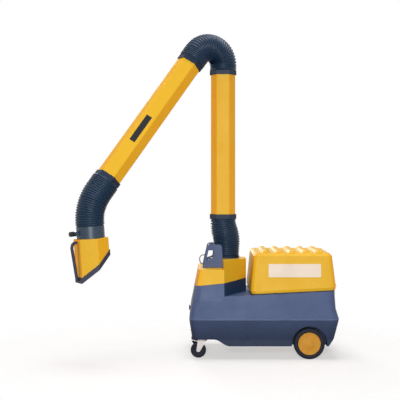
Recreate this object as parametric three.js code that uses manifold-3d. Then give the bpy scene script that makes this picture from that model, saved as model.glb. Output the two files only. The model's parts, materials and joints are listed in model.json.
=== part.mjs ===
// Mobile fume extractor: a wheeled filter trolley that carries a jointed extraction arm with a hood.
// Millimetres, +Z up. The arm slews about x = y = 0, the floor is z = 0 and the trolley's rear is +X.
import * as THREE from 'three';
import { mergeVertices } from 'three/addons/utils/BufferGeometryUtils.js';
import Module from 'manifold-3d';

const wasm = await Module();
wasm.setup();

// Fits
const GAP = 0.3; // between pieces that rest on each other
const RUN = 1.5; // between pieces that turn or swing past each other

// Trolley body
const BODY_FRONT = -310;
const BODY_REAR = 900;
const BODY_HALF = 405; // half the width at the crease
const BODY_CORNER = 62;
const BODY_WALL = 6;
// How far the body stands in from its crease at the front, the rear and the sides
const FLOOR_SETBACK = [24, 38, 20];
const SHOULDER_SETBACK = [12, 26, 8];
const DECK_SETBACK = [32, 36, 17];
const FLOOR_Z = 160; // underside of the body
const CREASE_Z = 320;
const SHOULDER_Z = 404;
const DECK_Z = 506; // deck height above the slewing axis
const DECK_SLOPE = 0.049;
const PAN_DEPTH = 55;
const PAN_FRONT = -110;
const PAN_WALL = 8;

// Turret: the raised front block, with its cover above a sloping seam
const TURRET_SHOULDER = -28;
const TURRET_REAR = 161;
const TURRET_REAR_HALF = 77;
const TURRET_LEAN = 0.19; // sideways travel of the walls per millimetre of height
const TURRET_TOP = 788;
const COVER_STEP_Z = 716;
const COVER_WALL = 5;
const SEAM_Z = 612; // seam height above the slewing axis
const SEAM_SLOPE = 0.1;
const COLLAR_RADIUS = 131;

// Filter lid
const LID_FRONT = 183;
const LID_REAR = 875;
const LID_HALF = 380;
const LID_TOP = 848;
const LID_LEAN = 0.105;
const LID_CORNER = 48;
const LID_WALL = 5;
const LID_BEVEL = 24;
const SEAL_HEIGHT = 7;
const SEAL_WIDTH = 22;
const HATCH_MARGIN = 60; // from the lid's edge to the hatch in the deck
const LOUVRE_COUNT = 5;
const LOUVRE_PITCH = 108;
const LOUVRE_WIDTH = 74;
const LOUVRE_HEIGHT = 18;
const LOUVRE_LENGTH = 560;
const HINGE_ROD = 6;
const HINGE_LENGTH = 520;

// Push handle, cable hook and switch
const HANDLE_HALF = 140; // from the middle to the inner face of a side plate
const HANDLE_PLATE = 12;
const HANDLE_BASE = [-204, -32];
const HANDLE_HEAD = [-166, -40];
const HANDLE_TOP = 908;
const HANDLE_RIM = 22; // material round the hand hole
const GRIP_RADIUS = 13;
const HOOK_ROD = 4;
const HOOK_REACH = 34;
const SWITCH_RADIUS = 24;
const SWITCH_SETBACK = 105; // behind the front edge of the cover
const INLET_RADIUS = 17;

// Rear wheels and casters
const WHEEL_X = 657;
const WHEEL_RADIUS = 125;
const WHEEL_WIDTH = 78;
const WHEEL_Y = 350;
const RIM_RADIUS = 92;
const AXLE_RADIUS = 12;
const ARCH_GAP = 18;
const CASTER_X = -203;
const CASTER_Y = 290;
const CASTER_TRAIL = 33;
const CASTER_RADIUS = 62.5;
const CASTER_WIDTH = 32;
const CASTER_PLATE = 5;
const FORK_WALL = 4;
const PEDAL_LENGTH = 92;

// Fan and filter
const FILTER_RADIUS = 150;
const FILTER_LENGTH = 330;
const FILTER_PLEATS = 40;
const BULKHEAD_X = 440;
const BULKHEAD_PLATE = 6;
const FAN_Z = 345;
const IMPELLER_RADIUS = 118;
const IMPELLER_WIDTH = 70;
const IMPELLER_BLADES = 8;
const SCROLL_WALL = 4;
const MOTOR_RADIUS = 68;
const MOTOR_LENGTH = 150;
const SHAFT_RADIUS = 10;

// Extraction arm, in its own plane: X outward from the slewing axis, Z up
const ARM_YAW = 208; // degrees about Z from the trolley's +X
const TUBE_CORNER = 104; // centre to corner of the hexagonal tube
const TUBE_WALL = 2.5;
const TUBE_LENGTH = 1165;
const LOWER_X = 33;
const LOWER_Z = 1156;
const UPPER_TURN = 142.4; // degrees between the two tubes' directions
const HOSE_RADIUS = 106.5;
const HOSE_RIB = 6.5;
const HOSE_BORE = 97;
const HOSE_SIDES = 12;
const SPIGOT_RADIUS = 93;
const SPIGOT_WALL = 4;
const SPIGOT_LENGTH = 16;
const CUFF_LENGTH = 45;
const CUFF_WALL = 8;
const ELBOW_RADIUS = 152;
const ELBOW_STRAIGHT = 43;
const ELBOW_PIVOT_OUT = 50; // pivots' offset from the hose's centreline, to the outside of the bend
const ELBOW_PIVOT_SHARE = 0.25; // of the bend, from each end to its pivot
const WRIST_START = 97;
const WRIST_RADIUS = 358;
const WRIST_END = 20;
const HOOD_TILT = 4; // degrees that the hood's foot leans to the trolley
const BASE_RIBS = 16;
const ELBOW_RIBS = 15; // on each half
const WRIST_RIBS = 11; // on each half
const LINK_PLATE = 8;
const LINK_WIDTH = 34;
const PIN_RADIUS = 8;
const TURNTABLE_Z = 800;
const DUCT_DROP = 90; // from the deck down to the duct's foot
const KNUCKLE_HALF = 24;
const CHEEK_HALF = 13; // half the width of the wrist's cheeks

// Hood and damper
const COLLAR_LENGTH = 95;
const COLLAR_OUTER = 111;
const COLLAR_WALL = 4;
const HOOD_CORNER = 138;
const HOOD_WALL = 3;
const HOOD_MID = 198; // length of the hood at its axis
const HOOD_SLOPE = 0.8;
const RIM_DEPTH = 45;
const RIM_LAP = 20; // how far the rim reaches up over the hood's edge
const RIM_WALL = 8;
const DAMPER_DROP = 52;
const GUARD_DROP = 68;
const GUARD_BARS = 5;
const HOOD_GRIP = 15; // half the width of the hood's handle
const HOOD_GRIP_OUT = 44;

// Shape helpers

const vec = (x, y, z) => new THREE.Vector3(x, y, z);
const rad = THREE.MathUtils.degToRad;

/** A closed skin over a row of rings with equally many points, capped at both ends or closed on itself. */
function skin(rings, closed = false) {
  const count = rings[0].length;
  const position = rings.flat().flatMap((p) => [p.x, p.y, p.z]);
  const index = [];
  const bands = closed ? rings.length : rings.length - 1;
  for (let i = 0; i < bands; i += 1) {
    const low = i * count;
    const high = ((i + 1) % rings.length) * count;
    for (let j = 0; j < count; j += 1) {
      const next = (j + 1) % count;
      index.push(low + j, low + next, high + next, low + j, high + next, high + j);
    }
  }
  const last = (rings.length - 1) * count;
  for (let j = 1; j < count - 1 && !closed; j += 1) {
    index.push(0, j + 1, j, last, last + j, last + j + 1);
  }
  const geometry = new THREE.BufferGeometry();
  geometry.setAttribute('position', new THREE.Float32BufferAttribute(position, 3));
  geometry.setIndex(index);
  return facingOut(geometry);
}

/** Turns a closed mesh the right way out. */
function facingOut(geometry) {
  const p = geometry.attributes.position;
  const index = geometry.index.array;
  let volume = 0;
  for (let i = 0; i < index.length; i += 3) {
    const [a, b, c] = [0, 1, 2].map((k) => new THREE.Vector3().fromBufferAttribute(p, index[i + k]));
    volume += a.dot(b.cross(c));
  }
  if (volume < 0) {
    geometry.setIndex([...index].reverse());
  }
  geometry.computeVertexNormals();
  return geometry;
}

function solid(geometry) {
  const plain = geometry.clone();
  plain.deleteAttribute('normal');
  plain.deleteAttribute('uv');
  const merged = mergeVertices(plain, 1e-4);
  return new wasm.Manifold(new wasm.Mesh({
    numProp: 3,
    vertProperties: new Float32Array(merged.attributes.position.array),
    triVerts: new Uint32Array(merged.index.array),
  }));
}

function shape(manifold) {
  const mesh = manifold.getMesh();
  const geometry = new THREE.BufferGeometry();
  geometry.setAttribute('position', new THREE.Float32BufferAttribute(mesh.vertProperties, 3));
  geometry.setIndex([...mesh.triVerts]);
  geometry.computeVertexNormals();
  return geometry;
}

const join = (first, ...rest) => rest.reduce((sum, piece) => sum.add(piece), first);
const cut = (first, ...rest) => rest.reduce((left, piece) => left.subtract(piece), first);

/** A flat outline in X and Z, given as [x, z] points with optional holes, extruded from y0 to y1. */
function plateXZ(points, y0, y1, holes = []) {
  const outline = new THREE.Shape(points.map(([x, z]) => new THREE.Vector2(x, z)));
  holes.forEach((hole) => outline.holes.push(new THREE.Path(hole.map(([x, z]) => new THREE.Vector2(x, z)))));
  const geometry = new THREE.ExtrudeGeometry(outline, { depth: y1 - y0, bevelEnabled: false });
  return geometry.rotateX(Math.PI / 2).translate(0, y1, 0);
}

/** A flat outline in Y and Z extruded from x0 to x1. */
function plateYZ(points, x0, x1, holes = []) {
  return plateXZ(points, -x1, -x0, holes).rotateZ(Math.PI / 2);
}

function block(x0, x1, y0, y1, z0, z1) {
  return new THREE.BoxGeometry(x1 - x0, y1 - y0, z1 - z0)
    .translate((x0 + x1) / 2, (y0 + y1) / 2, (z0 + z1) / 2);
}

/** A round bar from a to b along one axis letter, about the other two coordinates. */
function bar(axis, radius, from, to, centre = vec(0, 0, 0), sides = 20) {
  const geometry = new THREE.CylinderGeometry(radius, radius, to - from, sides);
  geometry.translate(0, (from + to) / 2, 0);
  if (axis === 'x') {
    geometry.rotateZ(-Math.PI / 2);
  }
  if (axis === 'z') {
    geometry.rotateX(Math.PI / 2);
  }
  return geometry.translate(centre.x, centre.y, centre.z);
}

/** A revolved profile of [radius, height] points about Z. */
function turned(profile, sides = 32, closed = true) {
  const points = profile.map(([r, h]) => new THREE.Vector2(r, h));
  if (closed) {
    points.push(points[0].clone());
  }
  const geometry = new THREE.LatheGeometry(points, sides).rotateX(Math.PI / 2);
  geometry.deleteAttribute('normal');
  geometry.deleteAttribute('uv');
  return facingOut(shape(solid(facingOut(mergeVertices(geometry, 1e-4)))));
}

/** Points of a circle, or of a hexagon whose flats face X, each with the same count round the axis. */
function circleRing(radius, z, sides = HOSE_SIDES) {
  return Array.from({ length: sides }, (_, i) => {
    const angle = (i / sides) * Math.PI * 2 + Math.PI / 6;
    return vec(radius * Math.cos(angle), radius * Math.sin(angle), z);
  });
}

function hexRing(corner, z, slope = 0) {
  const points = [];
  for (let i = 0; i < 6; i += 1) {
    const a = rad(30 + 60 * i);
    const b = rad(90 + 60 * i);
    const start = vec(corner * Math.cos(a), corner * Math.sin(a), 0);
    const end = vec(corner * Math.cos(b), corner * Math.sin(b), 0);
    points.push(start, start.clone().lerp(end, 0.5));
  }
  return points.map((p) => vec(p.x, p.y, z + slope * p.x));
}

/** A rounded rectangle whose height may vary along X. */
function roundedRing(x0, x1, half, corner, height, steps = 3) {
  const at = typeof height === 'function' ? height : () => height;
  const centres = [[x1 - corner, half - corner], [x0 + corner, half - corner],
    [x0 + corner, corner - half], [x1 - corner, corner - half]];
  return centres.flatMap(([cx, cy], quarter) => Array.from({ length: steps + 1 }, (_, i) => {
    const angle = (quarter + i / steps) * (Math.PI / 2);
    const x = cx + corner * Math.cos(angle);
    return vec(x, cy + corner * Math.sin(angle), at(x));
  }));
}

/** A flat-sided bar swept along points in the XZ plane, with corners taken off its section. */
function sweptBar(path, halfWidth, halfThick, y = 0) {
  const rings = path.map(([x, z], i) => {
    const before = path[Math.max(i - 1, 0)];
    const after = path[Math.min(i + 1, path.length - 1)];
    const along = new THREE.Vector2(after[0] - before[0], after[1] - before[1]).normalize();
    const section = [[1, 0.6], [0.6, 1], [-0.6, 1], [-1, 0.6], [-1, -0.6], [-0.6, -1], [0.6, -1], [1, -0.6]];
    return section.map(([u, v]) => vec(
      x - along.y * halfThick * v, y + halfWidth * u, z + along.x * halfThick * v,
    ));
  });
  return skin(rings);
}

function piece(name, geometry, colour, roughness = 0.5, metalness = 0) {
  const material = new THREE.MeshStandardMaterial({ color: colour, roughness, metalness });
  const mesh = new THREE.Mesh(geometry, material);
  mesh.name = name;
  return mesh;
}

const YELLOW = 0xe8b42e;
const SLATE = 0x4f5c82;
const NAVY = 0x26344c;
const BLACK = 0x1d2026;
const ZINC = 0xb9bcc0;
const STEEL = 0x8d9298;
const PAPER = 0xd9d3c2;

// Trolley body

const deckAt = (x) => DECK_Z + DECK_SLOPE * x;
const seamAt = (x) => SEAM_Z + SEAM_SLOPE * x;
const bodyTopFront = BODY_FRONT + DECK_SETBACK[0];
const bodyTopRear = BODY_REAR - DECK_SETBACK[1];
const bodyTopHalf = BODY_HALF - DECK_SETBACK[2];
const shoulderRear = BODY_REAR - SHOULDER_SETBACK[1];

/** Rings of the moulded body, inset from its outside, with its floor raised and its deck lowered. */
function bodyRings(inset) {
  const section = (z, [front, rear, half]) => roundedRing(
    BODY_FRONT + front + inset, BODY_REAR - rear - inset, BODY_HALF - half - inset, BODY_CORNER - inset, z,
  );
  return [
    section(FLOOR_Z + inset, FLOOR_SETBACK),
    section(CREASE_Z, [0, 0, 0]),
    section(SHOULDER_Z, SHOULDER_SETBACK),
    section((x) => deckAt(x) - inset, DECK_SETBACK),
  ];
}

/** Rings of the turret block, which runs from inside the body up to the collar's top. */
function turretRings(inset) {
  const foot = DECK_Z - 40;
  const ring = (z) => {
    const travel = (z - DECK_Z) * TURRET_LEAN;
    const front = bodyTopFront + travel + inset + 1;
    const half = bodyTopHalf - travel - inset - 1;
    const rear = TURRET_REAR - inset;
    const rearHalf = TURRET_REAR_HALF - inset * 0.6;
    const side = [[rear, rearHalf], [TURRET_SHOULDER - inset * 0.5, half], [front + BODY_CORNER, half],
      [front + BODY_CORNER * 0.3, half - BODY_CORNER * 0.3], [front, half - BODY_CORNER]];
    const far = side.map(([x, y]) => [x, -y]).reverse();
    return [...side, ...far].map(([x, y]) => vec(x, y, z));
  };
  return [ring(foot), ring(TURRET_TOP - inset)];
}

const REACH = BODY_HALF * 1.5; // half-depth of the cutting blocks, past both sides of the trolley
function aboveSeam(lift) {
  const left = BODY_FRONT - 50;
  const right = TURRET_REAR + 50;
  return solid(plateXZ(
    [[left, seamAt(left) + lift], [right, seamAt(right) + lift], [right, TURRET_TOP + 50],
      [left, TURRET_TOP + 50]],
    -REACH, REACH,
  ));
}

function coverStep(inset) {
  const top = TURRET_TOP + 50;
  const step = block(BODY_FRONT - 50, TURRET_SHOULDER + inset, -REACH, REACH, COVER_STEP_Z - inset, top);
  const collar = bar('z', COLLAR_RADIUS - inset, COVER_STEP_Z - 60, top + 10, vec(0, 0, 0), 24);
  return cut(solid(step), solid(collar));
}

const archRadius = WHEEL_RADIUS + ARCH_GAP;
const wellInner = WHEEL_Y - WHEEL_WIDTH / 2 - 12;
function wheelWells(extra) {
  const centre = vec(WHEEL_X, 0, WHEEL_RADIUS);
  const well = (from, to) => solid(bar('y', archRadius + extra, from, to, centre, 32));
  return [well(wellInner - extra, BODY_HALF + 20), well(-BODY_HALF - 20, extra - wellInner)];
}

const hatch = {
  x0: LID_FRONT + HATCH_MARGIN,
  x1: LID_REAR - HATCH_MARGIN,
  half: LID_HALF - HATCH_MARGIN,
};

function bodyHousing() {
  const block0 = solid(skin(turretRings(0)));
  const block1 = solid(skin(turretRings(BODY_WALL)));
  const above = aboveSeam(0);
  const outer = solid(skin(bodyRings(0))).add(block0.subtract(above));
  const inner = cut(solid(skin(bodyRings(BODY_WALL))).add(block1), ...wheelWells(BODY_WALL));
  const hatchTop = deckAt(LID_REAR) + HATCH_MARGIN;
  const opening = solid(block(hatch.x0, hatch.x1, -hatch.half, hatch.half, DECK_Z - HATCH_MARGIN, hatchTop));
  const inlet = solid(bar('x', INLET_RADIUS - 4, BODY_FRONT - 20, BODY_FRONT + 80, inletCentre));
  return cut(outer, inner, ...wheelWells(0), opening, inlet);
}

function turretCover() {
  const outer = solid(skin(turretRings(0))).intersect(aboveSeam(GAP)).subtract(coverStep(0));
  const inner = solid(skin(turretRings(COVER_WALL))).subtract(coverStep(COVER_WALL));
  const hole = solid(bar('z', bearingOuter + RUN, COVER_STEP_Z, TURRET_TOP + 20, vec(0, 0, 0), 24));
  const shaft = solid(bar('z', SWITCH_RADIUS * 0.3, COVER_STEP_Z - 30, COVER_STEP_Z + 20, switchCentre));
  return cut(outer, inner, hole, shaft);
}

const inletCentre = vec(0, BODY_HALF * 0.5, SHOULDER_Z - 60);
const switchCentre = vec(bodyTopFront + SWITCH_SETBACK, 0, 0);
const bearingOuter = SPIGOT_RADIUS + 14;

/** The pan's side outline: it dips below the floor behind the casters and ends in the rear skirt. */
function panOutline(inset) {
  const top = FLOOR_Z - GAP;
  const bottom = top - PAN_DEPTH + inset;
  const dip = Array.from({ length: 7 }, (_, i) => {
    const t = i / 6;
    const ease = t * t * (3 - 2 * t);
    return [PAN_FRONT + inset + t * 125, top - (top - bottom) * ease];
  });
  return [...dip, [BODY_REAR - 88 - inset, bottom], [BODY_REAR - 50 - inset, top]];
}

function bellyPan() {
  const half = BODY_HALF - 24;
  const outer = solid(plateXZ(panOutline(0), -half, half));
  const inside = solid(plateXZ(panOutline(PAN_WALL), PAN_WALL - half, half - PAN_WALL));
  const hollow = cut(inside, ...wheelWells(PAN_WALL));
  const axle = solid(bar('y', AXLE_RADIUS + GAP, -half, half, vec(WHEEL_X, 0, WHEEL_RADIUS)));
  return cut(outer, hollow, ...wheelWells(0), axle);
}

// Filter lid, its seal and its hinge

const lidFoot = SEAL_HEIGHT + GAP;
const lidCentre = (LID_FRONT + LID_REAR) / 2;
const hinge = {
  x: LID_REAR + HINGE_ROD + 5,
  z: deckAt(LID_REAR) + lidFoot + LID_BEVEL,
};

function lidRing(inset, height) {
  return roundedRing(LID_FRONT + inset, LID_REAR - inset, LID_HALF - inset, LID_CORNER, height);
}

function lidRings(wall) {
  const foot = (x) => deckAt(x) + lidFoot - wall;
  const waist = (x) => deckAt(x) + lidFoot + LID_BEVEL;
  const brow = LID_TOP - LID_BEVEL * 0.8;
  const lean = (brow - waist(lidCentre)) * LID_LEAN;
  return [
    lidRing(LID_BEVEL / 3 + wall, foot),
    lidRing(wall, waist),
    lidRing(lean + wall, brow - wall),
    lidRing(lean + LID_BEVEL * 0.8 + wall, LID_TOP - wall),
  ];
}

function lidShell() {
  const louvres = Array.from({ length: LOUVRE_COUNT }, (_, i) => {
    const x = lidCentre + (i - (LOUVRE_COUNT - 1) / 2) * LOUVRE_PITCH;
    const half = LOUVRE_WIDTH / 2;
    const base = LID_TOP - LID_WALL / 2;
    const top = LID_TOP + LOUVRE_HEIGHT;
    const hump = [[x - half, base], [x + half, base], [x + half * 0.45, top], [x - half * 0.45, top]];
    const long = LOUVRE_LENGTH / 2;
    const mouth = block(
      x, x + half + 1, LID_WALL * 2 - long, long - LID_WALL * 2, LID_TOP - LID_WALL * 2, top - LID_WALL,
    );
    return { hump: solid(plateXZ(hump, -long, long)), mouth: solid(mouth) };
  });
  const lugs = [-1, 1].map((side) => {
    const y = side * HINGE_LENGTH * 0.3;
    const lug = block(LID_REAR - 4, hinge.x + HINGE_ROD + 4, y - 15, y + 15, hinge.z - 10, hinge.z + 10);
    return solid(lug);
  });
  const body = cut(solid(skin(lidRings(0))), solid(skin(lidRings(LID_WALL))));
  const rod = solid(bar('y', HINGE_ROD + GAP, -HINGE_LENGTH, HINGE_LENGTH, vec(hinge.x, 0, hinge.z)));
  return cut(join(body, ...lugs, ...louvres.map((l) => l.hump)), rod, ...louvres.map((l) => l.mouth));
}

function lidSeal() {
  const ring = (inset, lift) => lidRing(LID_BEVEL / 3 + inset, (x) => deckAt(x) + lift);
  const inner = SEAL_WIDTH;
  return skin([ring(0, GAP), ring(0, SEAL_HEIGHT), ring(inner, SEAL_HEIGHT), ring(inner, GAP)], true);
}

function lidHinge() {
  const rod = solid(bar('y', HINGE_ROD, -HINGE_LENGTH / 2, HINGE_LENGTH / 2, vec(hinge.x, 0, hinge.z)));
  const wallAt = (z) => {
    const top = deckAt(bodyTopRear);
    return shoulderRear + (bodyTopRear - shoulderRear) * ((z - SHOULDER_Z) / (top - SHOULDER_Z)) + GAP;
  };
  const high = deckAt(bodyTopRear) - 12;
  const low = high - 46;
  const outline = [[wallAt(low), low], [wallAt(low) + 8, low], [hinge.x + 5, hinge.z - 8],
    [hinge.x + 5, hinge.z + 5], [hinge.x - 5, hinge.z + 5], [hinge.x - 5, hinge.z - 4], [wallAt(high), high]];
  const legs = [-1, 1].map((side) => {
    const y = side * HINGE_LENGTH * 0.44;
    return solid(plateXZ(outline, y - 16, y + 16));
  });
  return join(rod, ...legs);
}

// Push handle, cable hook, switch and mains inlet

const handleFoot = COVER_STEP_Z + GAP;
const handleFront = (z) => {
  const share = (z - handleFoot) / (HANDLE_TOP - handleFoot);
  return HANDLE_BASE[0] + (HANDLE_HEAD[0] - HANDLE_BASE[0]) * share;
};
const grip = { x: HANDLE_HEAD[0] + GRIP_RADIUS + 7, z: HANDLE_TOP - GRIP_RADIUS - 6 };

function handlePlate(side) {
  const [back0, back1] = [HANDLE_BASE[1], HANDLE_HEAD[1]];
  const outline = [[HANDLE_BASE[0], handleFoot], [back0, handleFoot], [back1, HANDLE_TOP - 14],
    [back1 - 16, HANDLE_TOP], [HANDLE_HEAD[0] + 22, HANDLE_TOP], [HANDLE_HEAD[0] + 4, HANDLE_TOP - 12]];
  const low = handleFoot + 62;
  const high = HANDLE_TOP - HANDLE_RIM - GRIP_RADIUS * 2;
  const hole = [[handleFront(low) + HANDLE_RIM, low], [handleFront(low) + HANDLE_RIM * 3.4, low + 20],
    [handleFront(high) + HANDLE_RIM * 2.9, high], [handleFront(high) + HANDLE_RIM, high]];
  const near = side * HANDLE_HALF;
  const far = side * (HANDLE_HALF + HANDLE_PLATE);
  return plateXZ(outline, Math.min(near, far), Math.max(near, far), [hole]);
}

function handleGrip() {
  const reach = HANDLE_HALF - GAP;
  return bar('y', GRIP_RADIUS, -reach, reach, vec(grip.x, 0, grip.z), 16);
}

function cableHook() {
  const high = HANDLE_TOP - 84;
  const low = high - 78;
  const middle = (high + low) / 2;
  const seat = (z) => handleFront(z) - GAP + HOOK_ROD * 0.13;
  const out = seat(middle) - HOOK_REACH;
  const path = [[seat(high), high], [out + 12, high - 4], [out, high - 22], [out - 2, middle],
    [out + 2, low + 20], [out + 12, low + 5], [seat(low), low]];
  return sweptBar(path, HOOK_ROD, HOOK_ROD, -HANDLE_HALF - HANDLE_PLATE / 2);
}

function mainSwitch() {
  const foot = COVER_STEP_Z + GAP;
  const stem = SWITCH_RADIUS * 0.3 - GAP;
  const knob = turned([[0, foot - 22], [stem, foot - 22], [stem, foot], [SWITCH_RADIUS, foot],
    [SWITCH_RADIUS * 0.92, foot + 12], [0, foot + 12]], 16, false);
  const pointer = block(-SWITCH_RADIUS * 0.85, SWITCH_RADIUS * 0.85, -5, 5, foot + 8, foot + 24);
  return shape(join(solid(knob), solid(pointer))).translate(switchCentre.x, 0, 0);
}

function mainsInlet() {
  const bore = INLET_RADIUS - 4 - GAP;
  const face = turned([[0, 0], [bore, 0], [bore, 26], [INLET_RADIUS + 6, 26], [INLET_RADIUS + 6, 31],
    [INLET_RADIUS, 33], [INLET_RADIUS - 3, 33], [INLET_RADIUS - 5, 14], [0, 14]], 14, false);
  const lean = 12 / (SHOULDER_Z - CREASE_Z);
  const wall = BODY_FRONT + (inletCentre.z - INLET_RADIUS - 6 - CREASE_Z) * lean;
  return face.rotateY(-Math.PI / 2).translate(wall - GAP * 2 + 26, inletCentre.y, inletCentre.z);
}

// Rear wheels

const capSeat = WHEEL_WIDTH / 2 - 18;
function tyre() {
  const half = WHEEL_WIDTH / 2;
  const side = [[RIM_RADIUS, half - 6], [RIM_RADIUS + 6, half], [WHEEL_RADIUS - 14, half],
    [WHEEL_RADIUS - 4, half - 7], [WHEEL_RADIUS, half - 18]];
  const other = side.map(([r, h]) => [r, -h]).reverse();
  return turned([...side, ...other], 32);
}

function rim() {
  const bore = AXLE_RADIUS + GAP;
  const hub = AXLE_RADIUS + 22;
  const edge = RIM_RADIUS - GAP;
  const back = 10 - WHEEL_WIDTH / 2;
  return turned([[bore, back], [hub, back], [hub, -6], [edge - 12, -6], [edge - 12, back], [edge, back],
    [edge, capSeat], [edge - 12, capSeat], [edge - 12, 6], [hub, 6], [hub, capSeat - 4],
    [bore, capSeat - 4]], 32);
}

function hubCap() {
  const edge = RIM_RADIUS - GAP - 1;
  const seat = capSeat + GAP;
  return turned([[0, seat], [edge, seat], [edge, seat + 10], [edge - 5, seat + 14], [edge - 10, seat + 11],
    [edge * 0.35, seat + 13], [edge * 0.3, seat + 16], [0, seat + 16]], 32, false);
}

/** Lays a wheel's part, made about Z, on the axle with its face to one side of the trolley. */
function onAxle(mesh, side) {
  mesh.rotation.x = side > 0 ? -Math.PI / 2 : Math.PI / 2;
  mesh.position.set(WHEEL_X, side * WHEEL_Y, WHEEL_RADIUS);
  return mesh;
}

// Casters, made about their swivel axis with the wheel trailing to -X

const forkTop = FLOOR_Z - GAP * 2 - CASTER_PLATE;
const forkInner = CASTER_WIDTH / 2 + RUN;
const pedal = { x: -17, z: CASTER_RADIUS * 2 + 8 };

function casterPlate() {
  return block(-46, 46, -36, 36, forkTop + GAP, FLOOR_Z - GAP);
}

function casterFork() {
  const hub = CASTER_RADIUS;
  const outline = [[-36, forkTop - 4], [30, forkTop - 4], [30, forkTop - 16], [16 - CASTER_TRAIL, hub - 4],
    [9 - CASTER_TRAIL, hub - 14], [-9 - CASTER_TRAIL, hub - 14], [-16 - CASTER_TRAIL, hub - 4]];
  const legs = [-1, 1].map((side) => {
    const [a, b] = [side * forkInner, side * (forkInner + FORK_WALL)];
    return solid(plateXZ(outline, Math.min(a, b), Math.max(a, b)));
  });
  const crown = solid(bar('z', 38, forkTop - 14, forkTop, vec(0, 0, 0), 18));
  const axle = solid(bar('y', 6, -forkInner - 1, forkInner + 1, vec(-CASTER_TRAIL, 0, hub), 12));
  const pivot = solid(bar('y', 4 + GAP, -REACH, REACH, vec(pedal.x, 0, pedal.z), 10));
  return cut(join(crown, ...legs, axle), pivot);
}

function casterWheel() {
  const half = CASTER_WIDTH / 2;
  const tread = CASTER_RADIUS;
  const side = [[6 + GAP, half - 2], [tread * 0.66, half - 6], [tread * 0.76, half], [tread - 5, half],
    [tread, half - 7]];
  const other = side.map(([r, h]) => [r, -h]).reverse();
  return turned([...side, ...other], 28).rotateX(Math.PI / 2).translate(-CASTER_TRAIL, 0, CASTER_RADIUS);
}

function brakePedal() {
  const { x, z } = pedal;
  const tip = x - PEDAL_LENGTH;
  const outline = [[x + 7, z - 4], [x + 7, z + 4], [x - 26, z + 5], [tip + 22, z + 13], [tip, z + 10],
    [tip, z + 5], [tip + 24, z + 7], [x - 28, z - 1]];
  const plate = solid(plateXZ(outline, RUN - forkInner, forkInner - RUN));
  const pin = solid(bar('y', 4, -forkInner - FORK_WALL, forkInner + FORK_WALL, vec(x, 0, z), 10));
  return join(plate, pin);
}

// Filter and fan, on one axis along X

const floorTop = FLOOR_Z + BODY_WALL + GAP;
const fanAxis = vec(0, 0, FAN_Z);
const scroll = { x0: BULKHEAD_X + BULKHEAD_PLATE + GAP };
scroll.x1 = scroll.x0 + IMPELLER_WIDTH + 26;
const inletRadius = IMPELLER_RADIUS * 0.72;
const ringYZ = (radius, sides) => Array.from({ length: sides }, (_, i) => {
  const angle = (i / sides) * Math.PI * 2;
  return [radius * Math.cos(angle), FAN_Z + radius * Math.sin(angle)];
});

function filterCartridge() {
  const star = Array.from({ length: FILTER_PLEATS * 2 }, (_, i) => {
    const angle = (i / (FILTER_PLEATS * 2)) * Math.PI * 2;
    const radius = i % 2 ? FILTER_RADIUS * 0.8 : FILTER_RADIUS;
    return [radius * Math.cos(angle), FAN_Z + radius * Math.sin(angle)];
  });
  const end = BULKHEAD_X - GAP;
  return plateYZ(star, end - FILTER_LENGTH, end, [ringYZ(FILTER_RADIUS * 0.62, 24).reverse()]);
}

function filterBulkhead() {
  const half = BODY_HALF - 20 - BODY_WALL - 4;
  const top = DECK_Z - 10;
  const outline = [[-half, floorTop], [half, floorTop], [half, top], [-half, top]];
  return plateYZ(outline, BULKHEAD_X, BULKHEAD_X + BULKHEAD_PLATE, [ringYZ(inletRadius, 24).reverse()]);
}

/** The fan's volute: it widens round the impeller and leaves upward through a chute. */
function voluteOutline(wall, extraTop) {
  const start = 60;
  const tight = IMPELLER_RADIUS + 18 - wall;
  const growth = 46;
  const steps = 20;
  const spiral = Array.from({ length: steps + 1 }, (_, i) => {
    const angle = rad(start + (360 - start) * (i / steps));
    const radius = tight + growth * (i / steps);
    return [radius * Math.cos(angle), FAN_Z + radius * Math.sin(angle)];
  });
  const top = DECK_Z - 6 + extraTop;
  const left = spiral[0][0] + wall * 1.5;
  return [...spiral, [tight + growth, top], [left, top]];
}

function fanScroll() {
  const outer = solid(plateYZ(voluteOutline(0, 0), scroll.x0, scroll.x1));
  const inner = solid(
    plateYZ(voluteOutline(SCROLL_WALL, 20), scroll.x0 + SCROLL_WALL, scroll.x1 - SCROLL_WALL));
  const inlet = solid(bar('x', inletRadius, scroll.x0 - 10, scroll.x0 + SCROLL_WALL * 2, fanAxis, 24));
  const shaft = solid(bar('x', SHAFT_RADIUS + RUN, scroll.x1 - SCROLL_WALL * 2, scroll.x1 + 10, fanAxis));
  return cut(outer, inner, inlet, shaft);
}

function impeller() {
  const front = scroll.x0 + SCROLL_WALL + 8;
  const back = front + IMPELLER_WIDTH;
  const disc = solid(bar('x', IMPELLER_RADIUS, back - 4, back, fanAxis, 24));
  const hub = solid(bar('x', SHAFT_RADIUS * 2.2, back - 30, back, fanAxis, 12));
  const shaft = solid(bar('x', SHAFT_RADIUS, back - 10, scroll.x1 + MOTOR_LENGTH * 0.4, fanAxis, 12));
  const shroud = solid(plateYZ(ringYZ(IMPELLER_RADIUS, 24), front, front + 4,
    [ringYZ(inletRadius, 24).reverse()]));
  const blades = Array.from({ length: IMPELLER_BLADES }, (_, i) => {
    const blade = new THREE.BoxGeometry(IMPELLER_WIDTH - 4, 4, IMPELLER_RADIUS * 0.34);
    blade.rotateX(rad(28)).translate(front + IMPELLER_WIDTH / 2, 0, IMPELLER_RADIUS * 0.8);
    return solid(blade.rotateX((i / IMPELLER_BLADES) * Math.PI * 2).translate(0, 0, FAN_Z));
  });
  return join(disc, hub, shaft, shroud, ...blades);
}

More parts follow.
